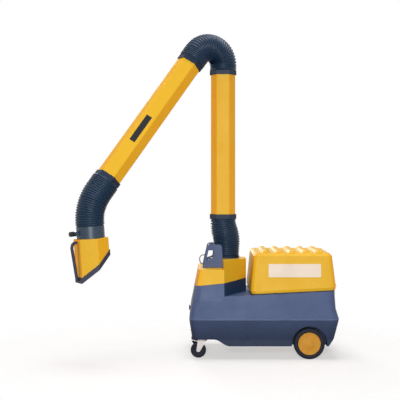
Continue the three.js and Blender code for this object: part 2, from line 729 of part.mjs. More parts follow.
function fanMotor() {
  const front = scroll.x1 + GAP;
  const back = front + MOTOR_LENGTH;
  const can = solid(bar('x', MOTOR_RADIUS, front, back, fanAxis, 16));
  const fins = Array.from({ length: 3 }, (_, i) => {
    const x = front + 34 + i * 34;
    return solid(bar('x', MOTOR_RADIUS + 7, x, x + 6, fanAxis, 16));
  });
  const halfFoot = MOTOR_RADIUS * 0.8;
  const foot = solid(block(front + 20, back - 20, -halfFoot, halfFoot, floorTop, FAN_Z - 30));
  const bore = solid(bar('x', SHAFT_RADIUS + GAP, front - 5, front + MOTOR_LENGTH * 0.4, fanAxis, 12));
  return cut(join(can, ...fins, foot), bore);
}

// Extraction arm: plane curves, hoses and cuffs

/** A plane curve of straight and round stretches: place and heading (from +Z to +X) at a length along it. */
function planePath(x, z, heading, stretches) {
  const step = (mark, s) => {
    if (!mark.turn) {
      const { x, z, heading } = mark;
      return { x: x + Math.sin(heading) * s, z: z + Math.cos(heading) * s, heading };
    }
    const bend = mark.turn / mark.length;
    const next = mark.heading + bend * s;
    return {
      x: mark.x + (Math.cos(mark.heading) - Math.cos(next)) / bend,
      z: mark.z + (Math.sin(next) - Math.sin(mark.heading)) / bend,
      heading: next,
    };
  };
  const marks = [];
  let here = { x, z, heading };
  stretches.forEach(({ length, turn = 0 }) => {
    marks.push({ ...here, length, turn });
    here = step(marks[marks.length - 1], length);
  });
  const length = stretches.reduce((sum, part) => sum + part.length, 0);
  const at = (s) => {
    let left = s;
    let k = 0;
    while (k < marks.length - 1 && left > marks[k].length) {
      left -= marks[k].length;
      k += 1;
    }
    return step(marks[k], left);
  };
  return { at, length, end: here };
}

function pathRing(path, s, radius) {
  const { x, z, heading } = path.at(s);
  return circleRing(radius, 0).map((p) => vec(
    x + p.x * Math.cos(heading), p.y, z - p.x * Math.sin(heading),
  ));
}

/** A ribbed hose with its bore between two lengths of a path. */
function hose(path, from, to, ribs) {
  const pitch = (to - from) / ribs;
  const outer = [pathRing(path, from, HOSE_RADIUS - HOSE_RIB)];
  const inner = [];
  for (let rib = 0; rib < ribs; rib += 1) {
    outer.push(pathRing(path, from + (rib + 0.5) * pitch, HOSE_RADIUS));
    outer.push(pathRing(path, from + (rib + 1) * pitch, HOSE_RADIUS - HOSE_RIB));
  }
  const boreSteps = Math.ceil(ribs / 5);
  for (let i = boreSteps; i >= 0; i -= 1) {
    inner.push(pathRing(path, from + (to - from) * (i / boreSteps), HOSE_BORE));
  }
  return skin([...outer, ...inner], true);
}

const cuffSeat = CUFF_LENGTH - 14;
function cuff() {
  const outside = TUBE_CORNER + CUFF_WALL;
  const socket = TUBE_CORNER + GAP * 1.3;
  const tip = CUFF_LENGTH + SPIGOT_LENGTH;
  return skin([
    hexRing(outside, 0), hexRing(outside, CUFF_LENGTH - 10), circleRing(HOSE_RADIUS, CUFF_LENGTH),
    circleRing(SPIGOT_RADIUS, CUFF_LENGTH), circleRing(SPIGOT_RADIUS, tip),
    circleRing(SPIGOT_RADIUS - SPIGOT_WALL, tip), circleRing(SPIGOT_RADIUS - SPIGOT_WALL, cuffSeat),
    hexRing(socket, cuffSeat), hexRing(socket, 0),
  ], true);
}

function tube() {
  const inside = TUBE_CORNER - TUBE_WALL / Math.cos(Math.PI / 6);
  const low = GAP - cuffSeat;
  const high = TUBE_LENGTH - low;
  return skin([
    hexRing(TUBE_CORNER, low), hexRing(TUBE_CORNER, high), hexRing(inside, high), hexRing(inside, low),
  ], true);
}

// Inner linkage of the arm: forks, tongues and pins

const turn = rad(UPPER_TURN);
const hoodHeading = Math.PI + rad(HOOD_TILT);
const tongueHalf = LINK_PLATE;
const forkNear = tongueHalf + RUN;
const forkFar = forkNear + LINK_PLATE;
const tubeInside = TUBE_CORNER * Math.cos(Math.PI / 6) - TUBE_WALL;
const CROSS_BAR = 12; // half the height of a bar across a tube

const hosePaths = {};
const baseFoot = TURNTABLE_Z + 10;
const baseRise = LOWER_Z - CUFF_LENGTH - baseFoot;
const baseTurn = 2 * Math.atan(LOWER_X / baseRise);
const baseArc = (baseRise / (2 * Math.sin(baseTurn))) * baseTurn;
hosePaths.base = planePath(0, baseFoot, 0, [
  { length: baseArc, turn: baseTurn }, { length: baseArc, turn: -baseTurn },
]);
const elbowFoot = LOWER_Z + TUBE_LENGTH + CUFF_LENGTH;
hosePaths.elbow = planePath(LOWER_X, elbowFoot, 0, [
  { length: ELBOW_RADIUS * turn, turn }, { length: ELBOW_STRAIGHT },
]);
const along = (mark, distance) => ({
  x: mark.x + Math.sin(mark.heading) * distance,
  z: mark.z + Math.cos(mark.heading) * distance,
  heading: mark.heading,
});
const upperFrame = along(hosePaths.elbow.end, CUFF_LENGTH);
const wristTurn = hoodHeading - turn;
const wristFoot = along(upperFrame, TUBE_LENGTH + CUFF_LENGTH);
hosePaths.wrist = planePath(wristFoot.x, wristFoot.z, turn, [
  { length: WRIST_START }, { length: WRIST_RADIUS * wristTurn, turn: wristTurn }, { length: WRIST_END },
]);
const hoodFrame = hosePaths.wrist.end;
const wristTangent = WRIST_RADIUS * Math.tan(wristTurn / 2);

/** A point of the arm's plane in the frame of a piece that starts at a mark and follows its heading. */
function inFrame(mark, point) {
  const dx = point.x - mark.x;
  const dz = point.z - mark.z;
  return {
    x: dx * Math.cos(mark.heading) - dz * Math.sin(mark.heading),
    z: dx * Math.sin(mark.heading) + dz * Math.cos(mark.heading),
  };
}

const pivots = { base: hosePaths.base.at(hosePaths.base.length / 2) };
const elbowCentre = { x: LOWER_X + ELBOW_RADIUS, z: elbowFoot };
[['elbowLower', ELBOW_PIVOT_SHARE], ['elbowUpper', 1 - ELBOW_PIVOT_SHARE]].forEach(([name, share]) => {
  const angle = turn * share;
  const reach = ELBOW_RADIUS + ELBOW_PIVOT_OUT;
  pivots[name] = { x: elbowCentre.x - reach * Math.cos(angle), z: elbowCentre.z + reach * Math.sin(angle) };
});
pivots.wrist = along(wristFoot, WRIST_START + wristTangent);

/** The outline of a flat link with round ends, from one point to another. */
function linkOutline(a, b, half = LINK_WIDTH / 2) {
  const heading = Math.atan2(b.z - a.z, b.x - a.x);
  const steps = 4;
  const end = (centre, start) => Array.from({ length: steps + 1 }, (_, i) => {
    const angle = heading + start + (i / steps) * Math.PI;
    return [centre.x + half * Math.cos(angle), centre.z + half * Math.sin(angle)];
  });
  return [...end(b, -Math.PI / 2), ...end(a, Math.PI / 2)];
}

function pinHole(point, radius = PIN_RADIUS + GAP, sides = 12) {
  return Array.from({ length: sides }, (_, i) => {
    const angle = -(i / sides) * Math.PI * 2;
    return [point.x + radius * Math.cos(angle), point.z + radius * Math.sin(angle)];
  });
}

/** A bar across a tube with two cheeks that reach from it to a pivot. */
function fork(from, to, halfBar, near = forkNear, halfCheek = LINK_WIDTH / 2) {
  const far = near + LINK_PLATE;
  const cheeks = [[near, far], [-far, -near]].map(([y0, y1]) => solid(
    plateXZ(linkOutline(from, to, halfCheek), y0, y1, [pinHole(to)]),
  ));
  const across = block(from.x - halfBar, from.x + halfBar, -far, far, from.z - CROSS_BAR, from.z + CROSS_BAR);
  return shape(join(solid(across), ...cheeks));
}

const pinAt = (point) => solid(bar('y', PIN_RADIUS, -forkFar, forkFar, vec(point.x, 0, point.z), 12));

/** A bar across a tube with one tongue that reaches to a pivot and carries its pin. */
function tongue(from, to, halfBar) {
  const plate = solid(plateXZ(linkOutline(from, to), -tongueHalf, tongueHalf));
  const [low, high] = [from.z - CROSS_BAR, from.z + CROSS_BAR];
  const across = block(from.x - halfBar, from.x + halfBar, -forkFar, forkFar, low, high);
  return shape(join(solid(across), plate, pinAt(to)));
}

function elbowLink() {
  const { elbowLower, elbowUpper } = pivots;
  const plate = solid(plateXZ(linkOutline(elbowLower, elbowUpper), -tongueHalf, tongueHalf));
  return shape(join(plate, pinAt(elbowLower), pinAt(elbowUpper)));
}

const barInset = GAP + (forkFar * (1 - Math.cos(Math.PI / 6))) / Math.sin(Math.PI / 6);

function baseYoke() {
  const foot = { x: 0, z: TURNTABLE_Z + CROSS_BAR + 2 };
  return fork(foot, pivots.base, SPIGOT_RADIUS - SPIGOT_WALL - barInset);
}

function turntable() {
  const inside = SPIGOT_RADIUS - SPIGOT_WALL;
  return skin([
    circleRing(inside, TURNTABLE_Z), circleRing(bearingOuter, TURNTABLE_Z),
    circleRing(bearingOuter, baseFoot - 4),
    circleRing(bearingOuter - 4, baseFoot - GAP), circleRing(SPIGOT_RADIUS, baseFoot - GAP),
    circleRing(SPIGOT_RADIUS, baseFoot + SPIGOT_LENGTH), circleRing(inside, baseFoot + SPIGOT_LENGTH),
  ], true);
}

/** The fixed duct: it hangs by its flange under the cover, and its neck is the turntable's bearing seat. */
const ductFlange = TURRET_TOP - COVER_WALL - GAP;
function intakeDuct() {
  const inside = SPIGOT_RADIUS - SPIGOT_WALL;
  const seat = TURNTABLE_Z - GAP;
  const mouth = DECK_Z - DUCT_DROP;
  return turned([[inside, mouth], [SPIGOT_RADIUS, mouth], [SPIGOT_RADIUS, ductFlange - 6],
    [bearingOuter + 12, ductFlange - 6], [bearingOuter + 12, ductFlange], [bearingOuter, ductFlange],
    [bearingOuter, seat], [inside, seat]], 18);
}

// Hood: its parts are made about the hood's axis, with +Z down the flow's way in and +X to the trolley

const neckFlange = 6;
const collarTop = neckFlange + GAP;
const hoodTop = collarTop + COLLAR_LENGTH + GAP;
const damperAxis = collarTop + DAMPER_DROP;
const damperRadius = (COLLAR_OUTER - COLLAR_WALL) * Math.cos(Math.PI / 24) - RUN * 4;
const wristAbove = -(WRIST_END + wristTangent);

function wristKnuckle() {
  const side = KNUCKLE_HALF * 2;
  const core = new THREE.BoxGeometry(side, side, side).translate(0, 0, wristAbove);
  const reach = KNUCKLE_HALF + RUN + LINK_PLATE;
  const centre = vec(0, 0, wristAbove);
  const across = solid(bar('y', PIN_RADIUS, -reach, reach, centre, 12));
  const inPlane = solid(bar('x', PIN_RADIUS, -reach, reach, centre, 12));
  return shape(join(solid(core), across, inPlane));
}

function neckFork() {
  const inside = SPIGOT_RADIUS - SPIGOT_WALL;
  const ring = solid(skin([
    circleRing(inside, -SPIGOT_LENGTH), circleRing(SPIGOT_RADIUS, -SPIGOT_LENGTH),
    circleRing(SPIGOT_RADIUS, 0),
    circleRing(HOSE_RADIUS + 2, 0), circleRing(HOSE_RADIUS + 2, neckFlange), circleRing(inside, neckFlange),
  ], true));
  const barTop = damperAxis - damperRadius - CROSS_BAR * 2 - 8;
  const reach = inside - 9;
  const straps = [-1, 1].map((side) => {
    const [a, b] = [side * reach, side * (inside + 1)];
    return solid(block(-12, 12, Math.min(a, b), Math.max(a, b), barTop, -SPIGOT_LENGTH + 6));
  });
  const near = KNUCKLE_HALF + RUN;
  const far = near + LINK_PLATE;
  const across = solid(block(-far, far, -reach - 4, reach + 4, barTop, barTop + CROSS_BAR * 1.4));
  const foot = { x: 0, z: barTop + CROSS_BAR * 0.7 };
  const head = { x: 0, z: wristAbove };
  const cheeks = [[near, far], [-far, -near]].map(([x0, x1]) => solid(
    plateYZ(linkOutline(foot, head, CHEEK_HALF), x0, x1, [pinHole(head)]),
  ));
  return join(ring, ...straps, across, ...cheeks);
}

const BOSS = { out: 24, halfWidth: 25, halfHeight: 18 };
const SPINDLE_RADIUS = 5;
const KNOB = { length: 38, half: 20 };
const knobStart = -(COLLAR_OUTER + BOSS.out + RUN);

function damperCollar() {
  const inside = COLLAR_OUTER - COLLAR_WALL;
  const low = collarTop + COLLAR_LENGTH;
  const wall = [[inside, collarTop], [COLLAR_OUTER, collarTop], [COLLAR_OUTER, low], [inside, low]];
  const band = solid(turned(wall, 24));
  const { out, halfWidth, halfHeight } = BOSS;
  const boss = solid(block(
    -COLLAR_OUTER - out, -inside + 4, -halfWidth, halfWidth, damperAxis - halfHeight, damperAxis + halfHeight,
  ));
  const well = solid(bar('z', inside, collarTop - 5, low + 5, vec(0, 0, 0), 24));
  const hole = solid(bar('x', SPINDLE_RADIUS + GAP, -REACH, REACH, vec(0, 0, damperAxis), 16));
  return cut(join(band, cut(boss, well)), hole);
}

function damperPlate() {
  const centre = vec(0, 0, damperAxis);
  const disc = solid(bar('y', damperRadius, -2, 2, centre, 24));
  const spindle = solid(
    bar('x', SPINDLE_RADIUS, knobStart - KNOB.length * 0.6, COLLAR_OUTER - GAP, centre, 16));
  return join(disc, spindle);
}

function damperKnob() {
  const { length, half } = KNOB;
  const centre = vec(0, 0, damperAxis);
  const body = solid(bar('x', half, knobStart - length, knobStart, centre, 10));
  const wings = solid(block(
    knobStart - length, knobStart - 8, -half * 1.15, half * 1.15,
    damperAxis - half * 0.45, damperAxis + half * 0.45,
  ));
  const bore = solid(
    bar('x', SPINDLE_RADIUS + GAP, knobStart - length * 0.6 - GAP, knobStart + 5, centre, 16));
  return cut(join(body, wings), bore);
}

const hoodEdge = hoodTop + HOOD_MID;
const hoodInside = HOOD_CORNER - HOOD_WALL / Math.cos(Math.PI / 6);

function hoodShell() {
  const hole = COLLAR_OUTER - COLLAR_WALL;
  const edge = hoodEdge + RIM_LAP;
  return skin([
    hexRing(HOOD_CORNER, hoodTop), hexRing(HOOD_CORNER, edge, -HOOD_SLOPE),
    hexRing(hoodInside, edge, -HOOD_SLOPE), hexRing(hoodInside, hoodTop + HOOD_WALL),
    circleRing(hole, hoodTop + HOOD_WALL), circleRing(hole, hoodTop),
  ], true);
}

function hoodRim() {
  const outside = HOOD_CORNER + RIM_WALL;
  const sleeve = HOOD_CORNER + GAP * 1.3;
  const lip = hoodInside - 4;
  const step = hoodEdge + RIM_LAP + GAP * 1.5;
  const foot = hoodEdge + RIM_DEPTH;
  const ring = (corner, z) => hexRing(corner, z, -HOOD_SLOPE);
  return skin([ring(outside, hoodEdge), ring(outside, foot), ring(lip, foot), ring(lip, step),
    ring(sleeve, step),
    ring(sleeve, hoodEdge)], true);
}

function hoodHandle() {
  const flat = Math.cos(Math.PI / 6);
  const face = -HOOD_CORNER * flat;
  const half = HOOD_GRIP * 0.7;
  const out = face - HOOD_GRIP_OUT;
  const low = hoodEdge + HOOD_SLOPE * HOOD_CORNER * flat + RIM_DEPTH * 0.7;
  const foot = -(HOOD_CORNER + RIM_WALL) * flat - half - GAP * 2;
  const high = hoodTop + 26;
  const path = [[face - GAP, high], [face - HOOD_GRIP_OUT * 0.5, high], [out + 6, high + 14],
    [out, high + 40],
    [out + (foot - out) * 0.5, (high + low) / 2 + 20], [foot - 3, low - 30], [foot, low]];
  return sweptBar(path, HOOD_GRIP, half);
}

function hoodGuard() {
  const z = hoodTop + GUARD_DROP;
  const outside = hoodInside - GAP * 1.3;
  const frame = solid(skin([hexRing(outside, z), hexRing(outside, z + 4), hexRing(outside - 10, z + 4),
    hexRing(outside - 10, z)], true));
  const reach = outside * Math.cos(Math.PI / 6);
  const bars = Array.from({ length: GUARD_BARS }, (_, i) => {
    const x = reach * ((2 * (i + 1)) / (GUARD_BARS + 1) - 1);
    const long = outside - 5 - Math.abs(x) * Math.tan(Math.PI / 6);
    return solid(block(x - 3, x + 3, -long, long, z, z + 4));
  });
  return join(frame, ...bars);
}

// Assembly

const extractor = new THREE.Group();

/** Adds a named piece to a group; its form is a geometry or the result of joins and cuts. */
function add(group, name, form, colour, roughness, metalness) {
  const geometry = form.isBufferGeometry ? form : shape(form);
  const mesh = piece(name, geometry, colour, roughness, metalness);
  group.add(mesh);
  return mesh;
}

add(extractor, 'body_housing', bodyHousing(), SLATE, 0.55);
add(extractor, 'belly_pan', bellyPan(), SLATE, 0.6);
add(extractor, 'turret_cover', turretCover(), YELLOW, 0.4);
add(extractor, 'lid_shell', lidShell(), YELLOW, 0.4);
add(extractor, 'lid_seal', lidSeal(), BLACK, 0.9);
add(extractor, 'lid_hinge', lidHinge(), ZINC, 0.35, 0.9);
add(extractor, 'handle_grip', handleGrip(), BLACK, 0.7);
add(extractor, 'cable_hook', cableHook(), BLACK, 0.5);
add(extractor, 'main_switch', mainSwitch(), BLACK, 0.5);
add(extractor, 'mains_inlet', mainsInlet(), BLACK, 0.6);
add(extractor, 'filter_cartridge', filterCartridge(), PAPER, 0.9);
add(extractor, 'filter_bulkhead', filterBulkhead(), STEEL, 0.45, 0.8);
add(extractor, 'fan_scroll', fanScroll(), STEEL, 0.45, 0.8);
add(extractor, 'impeller', impeller(), STEEL, 0.4, 0.8);
add(extractor, 'fan_motor', fanMotor(), NAVY, 0.5, 0.3);
add(extractor, 'intake_duct', intakeDuct(), STEEL, 0.45, 0.8);
const axleReach = WHEEL_Y + capSeat - 6;
const axle = bar('y', AXLE_RADIUS, -axleReach, axleReach, vec(WHEEL_X, 0, WHEEL_RADIUS));
add(extractor, 'rear_axle', axle, ZINC, 0.35, 0.9);

[['left', -1], ['right', 1]].forEach(([hand, side]) => {
  add(extractor, `handle_plate_${hand}`, handlePlate(side), SLATE, 0.5);
  onAxle(add(extractor, `rear_tyre_${hand}`, tyre(), BLACK, 0.85), side);
  onAxle(add(extractor, `rear_rim_${hand}`, rim(), BLACK, 0.6), side);
  onAxle(add(extractor, `hub_cap_${hand}`, hubCap(), YELLOW, 0.4), side);
  const caster = new THREE.Group();
  caster.position.set(CASTER_X, side * CASTER_Y, 0);
  add(caster, `caster_plate_${hand}`, casterPlate(), ZINC, 0.35, 0.9);
  add(caster, `caster_fork_${hand}`, casterFork(), ZINC, 0.35, 0.9);
  add(caster, `caster_wheel_${hand}`, casterWheel(), BLACK, 0.8);
  add(caster, `brake_pedal_${hand}`, brakePedal(), ZINC, 0.35, 0.9);
  extractor.add(caster);
});

/** A group at a mark of the arm's plane, with +Z along the mark's heading. */
function groupAt(mark) {
  const group = new THREE.Group();
  group.position.set(mark.x, 0, mark.z);
  group.rotation.y = mark.heading;
  return group;
}

const arm = new THREE.Group();
arm.rotation.z = rad(ARM_YAW);
const lowerFrame = { x: LOWER_X, z: LOWER_Z, heading: 0 };
const lowerArm = groupAt(lowerFrame);
const upperArm = groupAt(upperFrame);
const hood = groupAt(hoodFrame);
arm.add(lowerArm, upperArm, hood);
extractor.add(arm);

add(arm, 'turntable', turntable(), NAVY, 0.5);
add(arm, 'base_yoke', baseYoke(), STEEL, 0.4, 0.9);
add(arm, 'elbow_link', elbowLink(), STEEL, 0.4, 0.9);
const { base, elbow, wrist } = hosePaths;
add(arm, 'base_hose', hose(base, GAP, base.length - GAP, BASE_RIBS), NAVY, 0.6);
[['elbow_hose_lower', 'elbow_hose_upper', elbow, ELBOW_RIBS],
  ['wrist_hose_upper', 'wrist_hose_lower', wrist, WRIST_RIBS]].forEach(([first, second, path, ribs]) => {
  const half = path.length / 2;
  add(arm, first, hose(path, GAP, half - GAP / 2, ribs), NAVY, 0.6);
  add(arm, second, hose(path, half + GAP / 2, path.length - GAP, ribs), NAVY, 0.6);
});

const barInTube = tubeInside - GAP;
const tubeFoot = { x: 0, z: CROSS_BAR };
const tubeHead = { x: 0, z: TUBE_LENGTH - CROSS_BAR };
[['lower', lowerArm], ['upper', upperArm]].forEach(([name, group]) => {
  add(group, `${name}_tube`, tube(), YELLOW, 0.35, 0.1);
  add(group, `${name}_cuff_head`, cuff(), NAVY, 0.55).position.z = TUBE_LENGTH;
  add(group, `${name}_cuff_foot`, cuff(), NAVY, 0.55).rotation.x = Math.PI;
});
add(lowerArm, 'base_lug', tongue(tubeFoot, inFrame(lowerFrame, pivots.base), barInTube), STEEL, 0.4, 0.9);
const lowerElbow = inFrame(lowerFrame, pivots.elbowLower);
const upperElbow = inFrame(upperFrame, pivots.elbowUpper);
add(lowerArm, 'elbow_lug_lower', fork(tubeHead, lowerElbow, barInTube), STEEL, 0.4, 0.9);
add(upperArm, 'elbow_lug_upper', fork(tubeFoot, upperElbow, barInTube), STEEL, 0.4, 0.9);
const wristPivot = inFrame(upperFrame, pivots.wrist);
const wristFork = fork(tubeHead, wristPivot, barInTube, KNUCKLE_HALF + RUN, CHEEK_HALF);
add(upperArm, 'wrist_lug', wristFork, STEEL, 0.4, 0.9);

add(hood, 'wrist_knuckle', wristKnuckle(), STEEL, 0.4, 0.9);
add(hood, 'neck_fork', neckFork(), NAVY, 0.5);
add(hood, 'damper_collar', damperCollar(), NAVY, 0.5);
add(hood, 'damper_plate', damperPlate(), STEEL, 0.4, 0.9);
add(hood, 'damper_knob', damperKnob(), BLACK, 0.6);
add(hood, 'hood_shell', hoodShell(), YELLOW, 0.4);
add(hood, 'hood_rim', hoodRim(), BLACK, 0.8);
add(hood, 'hood_handle', hoodHandle(), NAVY, 0.55);
add(hood, 'hood_guard', hoodGuard(), STEEL, 0.4, 0.9);

// The origin is under the middle of the whole machine, on the floor it stands on.
const reach = new THREE.Box3().setFromObject(extractor, true);
const middle = reach.getCenter(vec(0, 0, 0));
extractor.position.set(-middle.x, -middle.y, -reach.min.z);

// Pivots of the moving pieces, in the finished frame.
extractor.updateMatrixWorld(true);
const armPoint = ({ x, z }) => arm.localToWorld(vec(x, 0, z));
extractor.userData.pivots = {
  slew: armPoint({ x: 0, z: TURNTABLE_Z }),
  base: armPoint(pivots.base),
  elbowLower: armPoint(pivots.elbowLower),
  elbowUpper: armPoint(pivots.elbowUpper),
  wrist: armPoint(pivots.wrist),
  hood: hood.localToWorld(vec(0, 0, collarTop)),
  damper: hood.localToWorld(vec(0, 0, damperAxis)),
  lid: extractor.localToWorld(vec(hinge.x, 0, hinge.z)),
  switch: extractor.localToWorld(vec(switchCentre.x, 0, COVER_STEP_Z)),
  fan: extractor.localToWorld(vec(scroll.x0, 0, FAN_Z)),
  rearAxle: extractor.localToWorld(vec(WHEEL_X, 0, WHEEL_RADIUS)),
  casterLeft: extractor.localToWorld(vec(CASTER_X, -CASTER_Y, forkTop)),
  casterRight: extractor.localToWorld(vec(CASTER_X, CASTER_Y, forkTop)),
};

export default extractor;
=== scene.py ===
import json
import math

import bpy
from mathutils import Matrix, Vector

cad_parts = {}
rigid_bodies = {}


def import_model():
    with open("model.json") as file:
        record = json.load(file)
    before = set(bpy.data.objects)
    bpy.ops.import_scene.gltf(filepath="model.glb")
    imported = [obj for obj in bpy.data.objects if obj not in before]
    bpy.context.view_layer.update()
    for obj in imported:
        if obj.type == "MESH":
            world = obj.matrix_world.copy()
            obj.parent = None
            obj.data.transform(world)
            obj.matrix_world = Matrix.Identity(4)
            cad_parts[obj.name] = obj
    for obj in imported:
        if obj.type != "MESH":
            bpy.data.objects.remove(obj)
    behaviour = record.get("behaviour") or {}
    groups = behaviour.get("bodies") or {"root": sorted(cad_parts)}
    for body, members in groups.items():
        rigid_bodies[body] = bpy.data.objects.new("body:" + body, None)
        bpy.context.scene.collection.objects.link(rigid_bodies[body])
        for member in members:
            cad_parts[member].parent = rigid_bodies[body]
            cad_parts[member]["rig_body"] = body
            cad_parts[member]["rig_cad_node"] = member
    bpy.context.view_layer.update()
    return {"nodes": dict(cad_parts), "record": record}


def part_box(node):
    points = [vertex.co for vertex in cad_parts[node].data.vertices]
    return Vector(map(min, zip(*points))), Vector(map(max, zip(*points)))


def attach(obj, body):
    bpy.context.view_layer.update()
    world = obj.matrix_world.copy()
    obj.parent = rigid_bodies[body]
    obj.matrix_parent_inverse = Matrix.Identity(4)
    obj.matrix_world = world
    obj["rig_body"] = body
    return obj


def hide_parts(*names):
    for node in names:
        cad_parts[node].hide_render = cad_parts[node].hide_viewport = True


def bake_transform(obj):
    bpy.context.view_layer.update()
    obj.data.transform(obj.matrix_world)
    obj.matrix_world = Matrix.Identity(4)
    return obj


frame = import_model()
nodes = frame["nodes"]
record = frame["record"]
body_of = {node: body for body, members in record["behaviour"]["bodies"].items()
           for node in members}
slot_of = {part["node"]: part["material_slot"] for part in record["subparts"]}

# Places shared with the solids, in metres

SLEW = Vector((0.173157, 0.145463, 0))
OUTWARD = Vector((-0.882948, -0.469472, 0))
CREASE = 0.32
CUFF = 0.045


def arm_point(x, z):
    """A point of the arm's upright plane."""
    return SLEW + OUTWARD * x + Vector((0, 0, z))


# Shader nodes

UNIT = (0.0, 1.0)
NOISE_SPAN = (0.3, 0.7)


def fed(tree, socket, value):
    """A socket takes a number, a colour or what another socket puts out."""
    if isinstance(value, (int, float)):
        socket.default_value = value
    elif isinstance(value, tuple):
        socket.default_value = (*value, 1)
    else:
        tree.links.new(value, socket)


def new_group(name, inputs, outputs):
    """An empty shader node group: the group, what it is given and what it puts out."""
    group = bpy.data.node_groups.new(name, "ShaderNodeTree")
    for label, value in inputs.items():
        socket = group.interface.new_socket(label, in_out="INPUT", socket_type="NodeSocketFloat")
        socket.default_value = value
    for label in outputs:
        group.interface.new_socket(label, in_out="OUTPUT", socket_type="NodeSocketFloat")
    first = group.nodes.new("NodeGroupInput")
    last = group.nodes.new("NodeGroupOutput")
    return group, first.outputs, last.inputs


def placed(tree, group, **values):
    """A group placed in a material with its own values: what it puts out there."""
    node = tree.nodes.new("ShaderNodeGroup")
    node.node_tree = group
    for label, value in values.items():
        node.inputs[label].default_value = value
    return node.outputs


def object_place(tree):
    """The object coordinates of the surface."""
    return tree.nodes.new("ShaderNodeTexCoord").outputs["Object"]


def axes_of(tree):
    """The object coordinates one by one."""
    split = tree.nodes.new("ShaderNodeSeparateXYZ")
    tree.links.new(object_place(tree), split.inputs[0])
    return split.outputs


def noise(tree, scale, detail, roughness=0.55):
    """The value of a noise texture on object coordinates."""
    texture = tree.nodes.new("ShaderNodeTexNoise")
    texture.inputs["Detail"].default_value = detail
    texture.inputs["Roughness"].default_value = roughness
    tree.links.new(object_place(tree), texture.inputs["Vector"])
    fed(tree, texture.inputs["Scale"], scale)
    return texture.outputs["Fac"]


def ranged(tree, value, span, onto=UNIT):
    """Maps a value's span onto another, clamped."""
    node = tree.nodes.new("ShaderNodeMapRange")
    for label, number in zip(("From Min", "From Max", "To Min", "To Max"), (*span, *onto)):
        node.inputs[label].default_value = number
    tree.links.new(value, node.inputs["Value"])
    return node.outputs["Result"]


def worked(tree, operation, first, second):
    """Two values worked together; the second may be a number."""
    node = tree.nodes.new("ShaderNodeMath")
    node.operation = operation
    tree.links.new(first, node.inputs[0])
    fed(tree, node.inputs[1], second)
    return node.outputs[0]


def multiplied(tree, first, second):
    """The product of two values; the second may be a number."""
    return worked(tree, "MULTIPLY", first, second)


def blended(tree, mask, first, second):
    """One colour over another by a mask; either may be a socket."""
    mix = tree.nodes.new("ShaderNodeMix")
    mix.data_type = "RGBA"
    tree.links.new(mask, mix.inputs["Factor"])
    colours = [socket for socket in mix.inputs if socket.type == "RGBA"]
    for socket, value in zip(colours, (first, second)):
        fed(tree, socket, value)
    return next(socket for socket in mix.outputs if socket.type == "RGBA")


def new_shader(tree, kind, **values):
    """What a new shader node puts out, with its values set."""
    node = tree.nodes.new(kind)
    for label, value in values.items():
        fed(tree, node.inputs[label], value)
    return node.outputs[0]


def mixed(tree, share, first, second):
    """Two shaders mixed by a share, which may be a number."""
    node = tree.nodes.new("ShaderNodeMixShader")
    for socket, value in zip(node.inputs, (share, first, second)):
        fed(tree, socket, value)
    return node.outputs[0]


# Effects that several finishes share

DECK_SLOPE = 0.049
WALL_FADE = (0.0, 0.003)


def make_grain():
    """Fine moulding grain: a height for the bump and a speckle for the colour."""
    group, given, result = new_group("mould_grain", {"Scale": 900.0}, ["Height", "Speckle"])
    fine = noise(group, given["Scale"], detail=3.0)
    pits = group.nodes.new("ShaderNodeTexVoronoi")
    group.links.new(object_place(group), pits.inputs["Vector"])
    group.links.new(given["Scale"], pits.inputs["Scale"])
    pitted = ranged(group, pits.outputs["Distance"], (0.0, 0.5), onto=(0.5, 1.0))
    group.links.new(multiplied(group, fine, pitted), result["Height"])
    group.links.new(ranged(group, fine, (0.35, 0.7)), result["Speckle"])
    return group


def make_handling():
    """Broad, soft patches where hands and dust have changed the surface."""
    group, given, result = new_group("handling", {"Scale": 6.0}, ["Mask"])
    broad = noise(group, given["Scale"], detail=6.0, roughness=0.6)
    streak = noise(group, scale=40.0, detail=2.0)
    mask = multiplied(group, ranged(group, broad, (0.42, 0.72)),
                      ranged(group, streak, (0.25, 0.75), onto=(0.55, 1.0)))
    group.links.new(mask, result["Mask"])
    return group


def make_rub():
    """Pale wear along exposed edges."""
    group, given, result = new_group("edge_rub", {"Amount": 0.5}, ["Mask"])
    shape = group.nodes.new("ShaderNodeNewGeometry")
    edges = ranged(group, shape.outputs["Pointiness"], (0.53, 0.62))
    patch = noise(group, scale=25.0, detail=4.0)
    broken = multiplied(group, edges, ranged(group, patch, (0.4, 0.65)))
    group.links.new(multiplied(group, broken, given["Amount"]), result["Mask"])
    return group


def make_skirt_shading():
    """Painted shade that deepens from the crease down to the floor, and a painted highlight along
    the crease.
    """
    group, given, result = new_group("skirt_painted_shade", {"Crease": CREASE}, ["Soil", "PaintedHighlight"])
    # Painted shade: darker from the crease down and darker still towards the floor, with a little
    # random variation.
    drop = worked(group, "SUBTRACT", given["Crease"], axes_of(group)["Z"])
    start = ranged(group, drop, (-0.001, 0.004), onto=(0.0, 0.55))
    deep = ranged(group, drop, (0.0, 0.16), onto=(0.0, 0.4))
    cloud = noise(group, scale=9.0, detail=5.0)
    painted_shade = multiplied(group, worked(group, "ADD", start, deep),
                      ranged(group, cloud, NOISE_SPAN, onto=(0.85, 1.0)))
    group.links.new(painted_shade, result["Soil"])
    # Painted highlight: a pale line just above the crease, where its rounded edge would catch the
    # light.
    above = ranged(group, drop, (-0.0045, -0.001))
    under = ranged(group, drop, (0.001, 0.0035), onto=(1.0, 0.0))
    broken = noise(group, scale=18.0, detail=4.0)
    painted_highlight = multiplied(group, multiplied(group, above, under),
                       ranged(group, broken, (0.3, 0.6), onto=(0.25, 0.8)))
    group.links.new(painted_highlight, result["PaintedHighlight"])
    return group


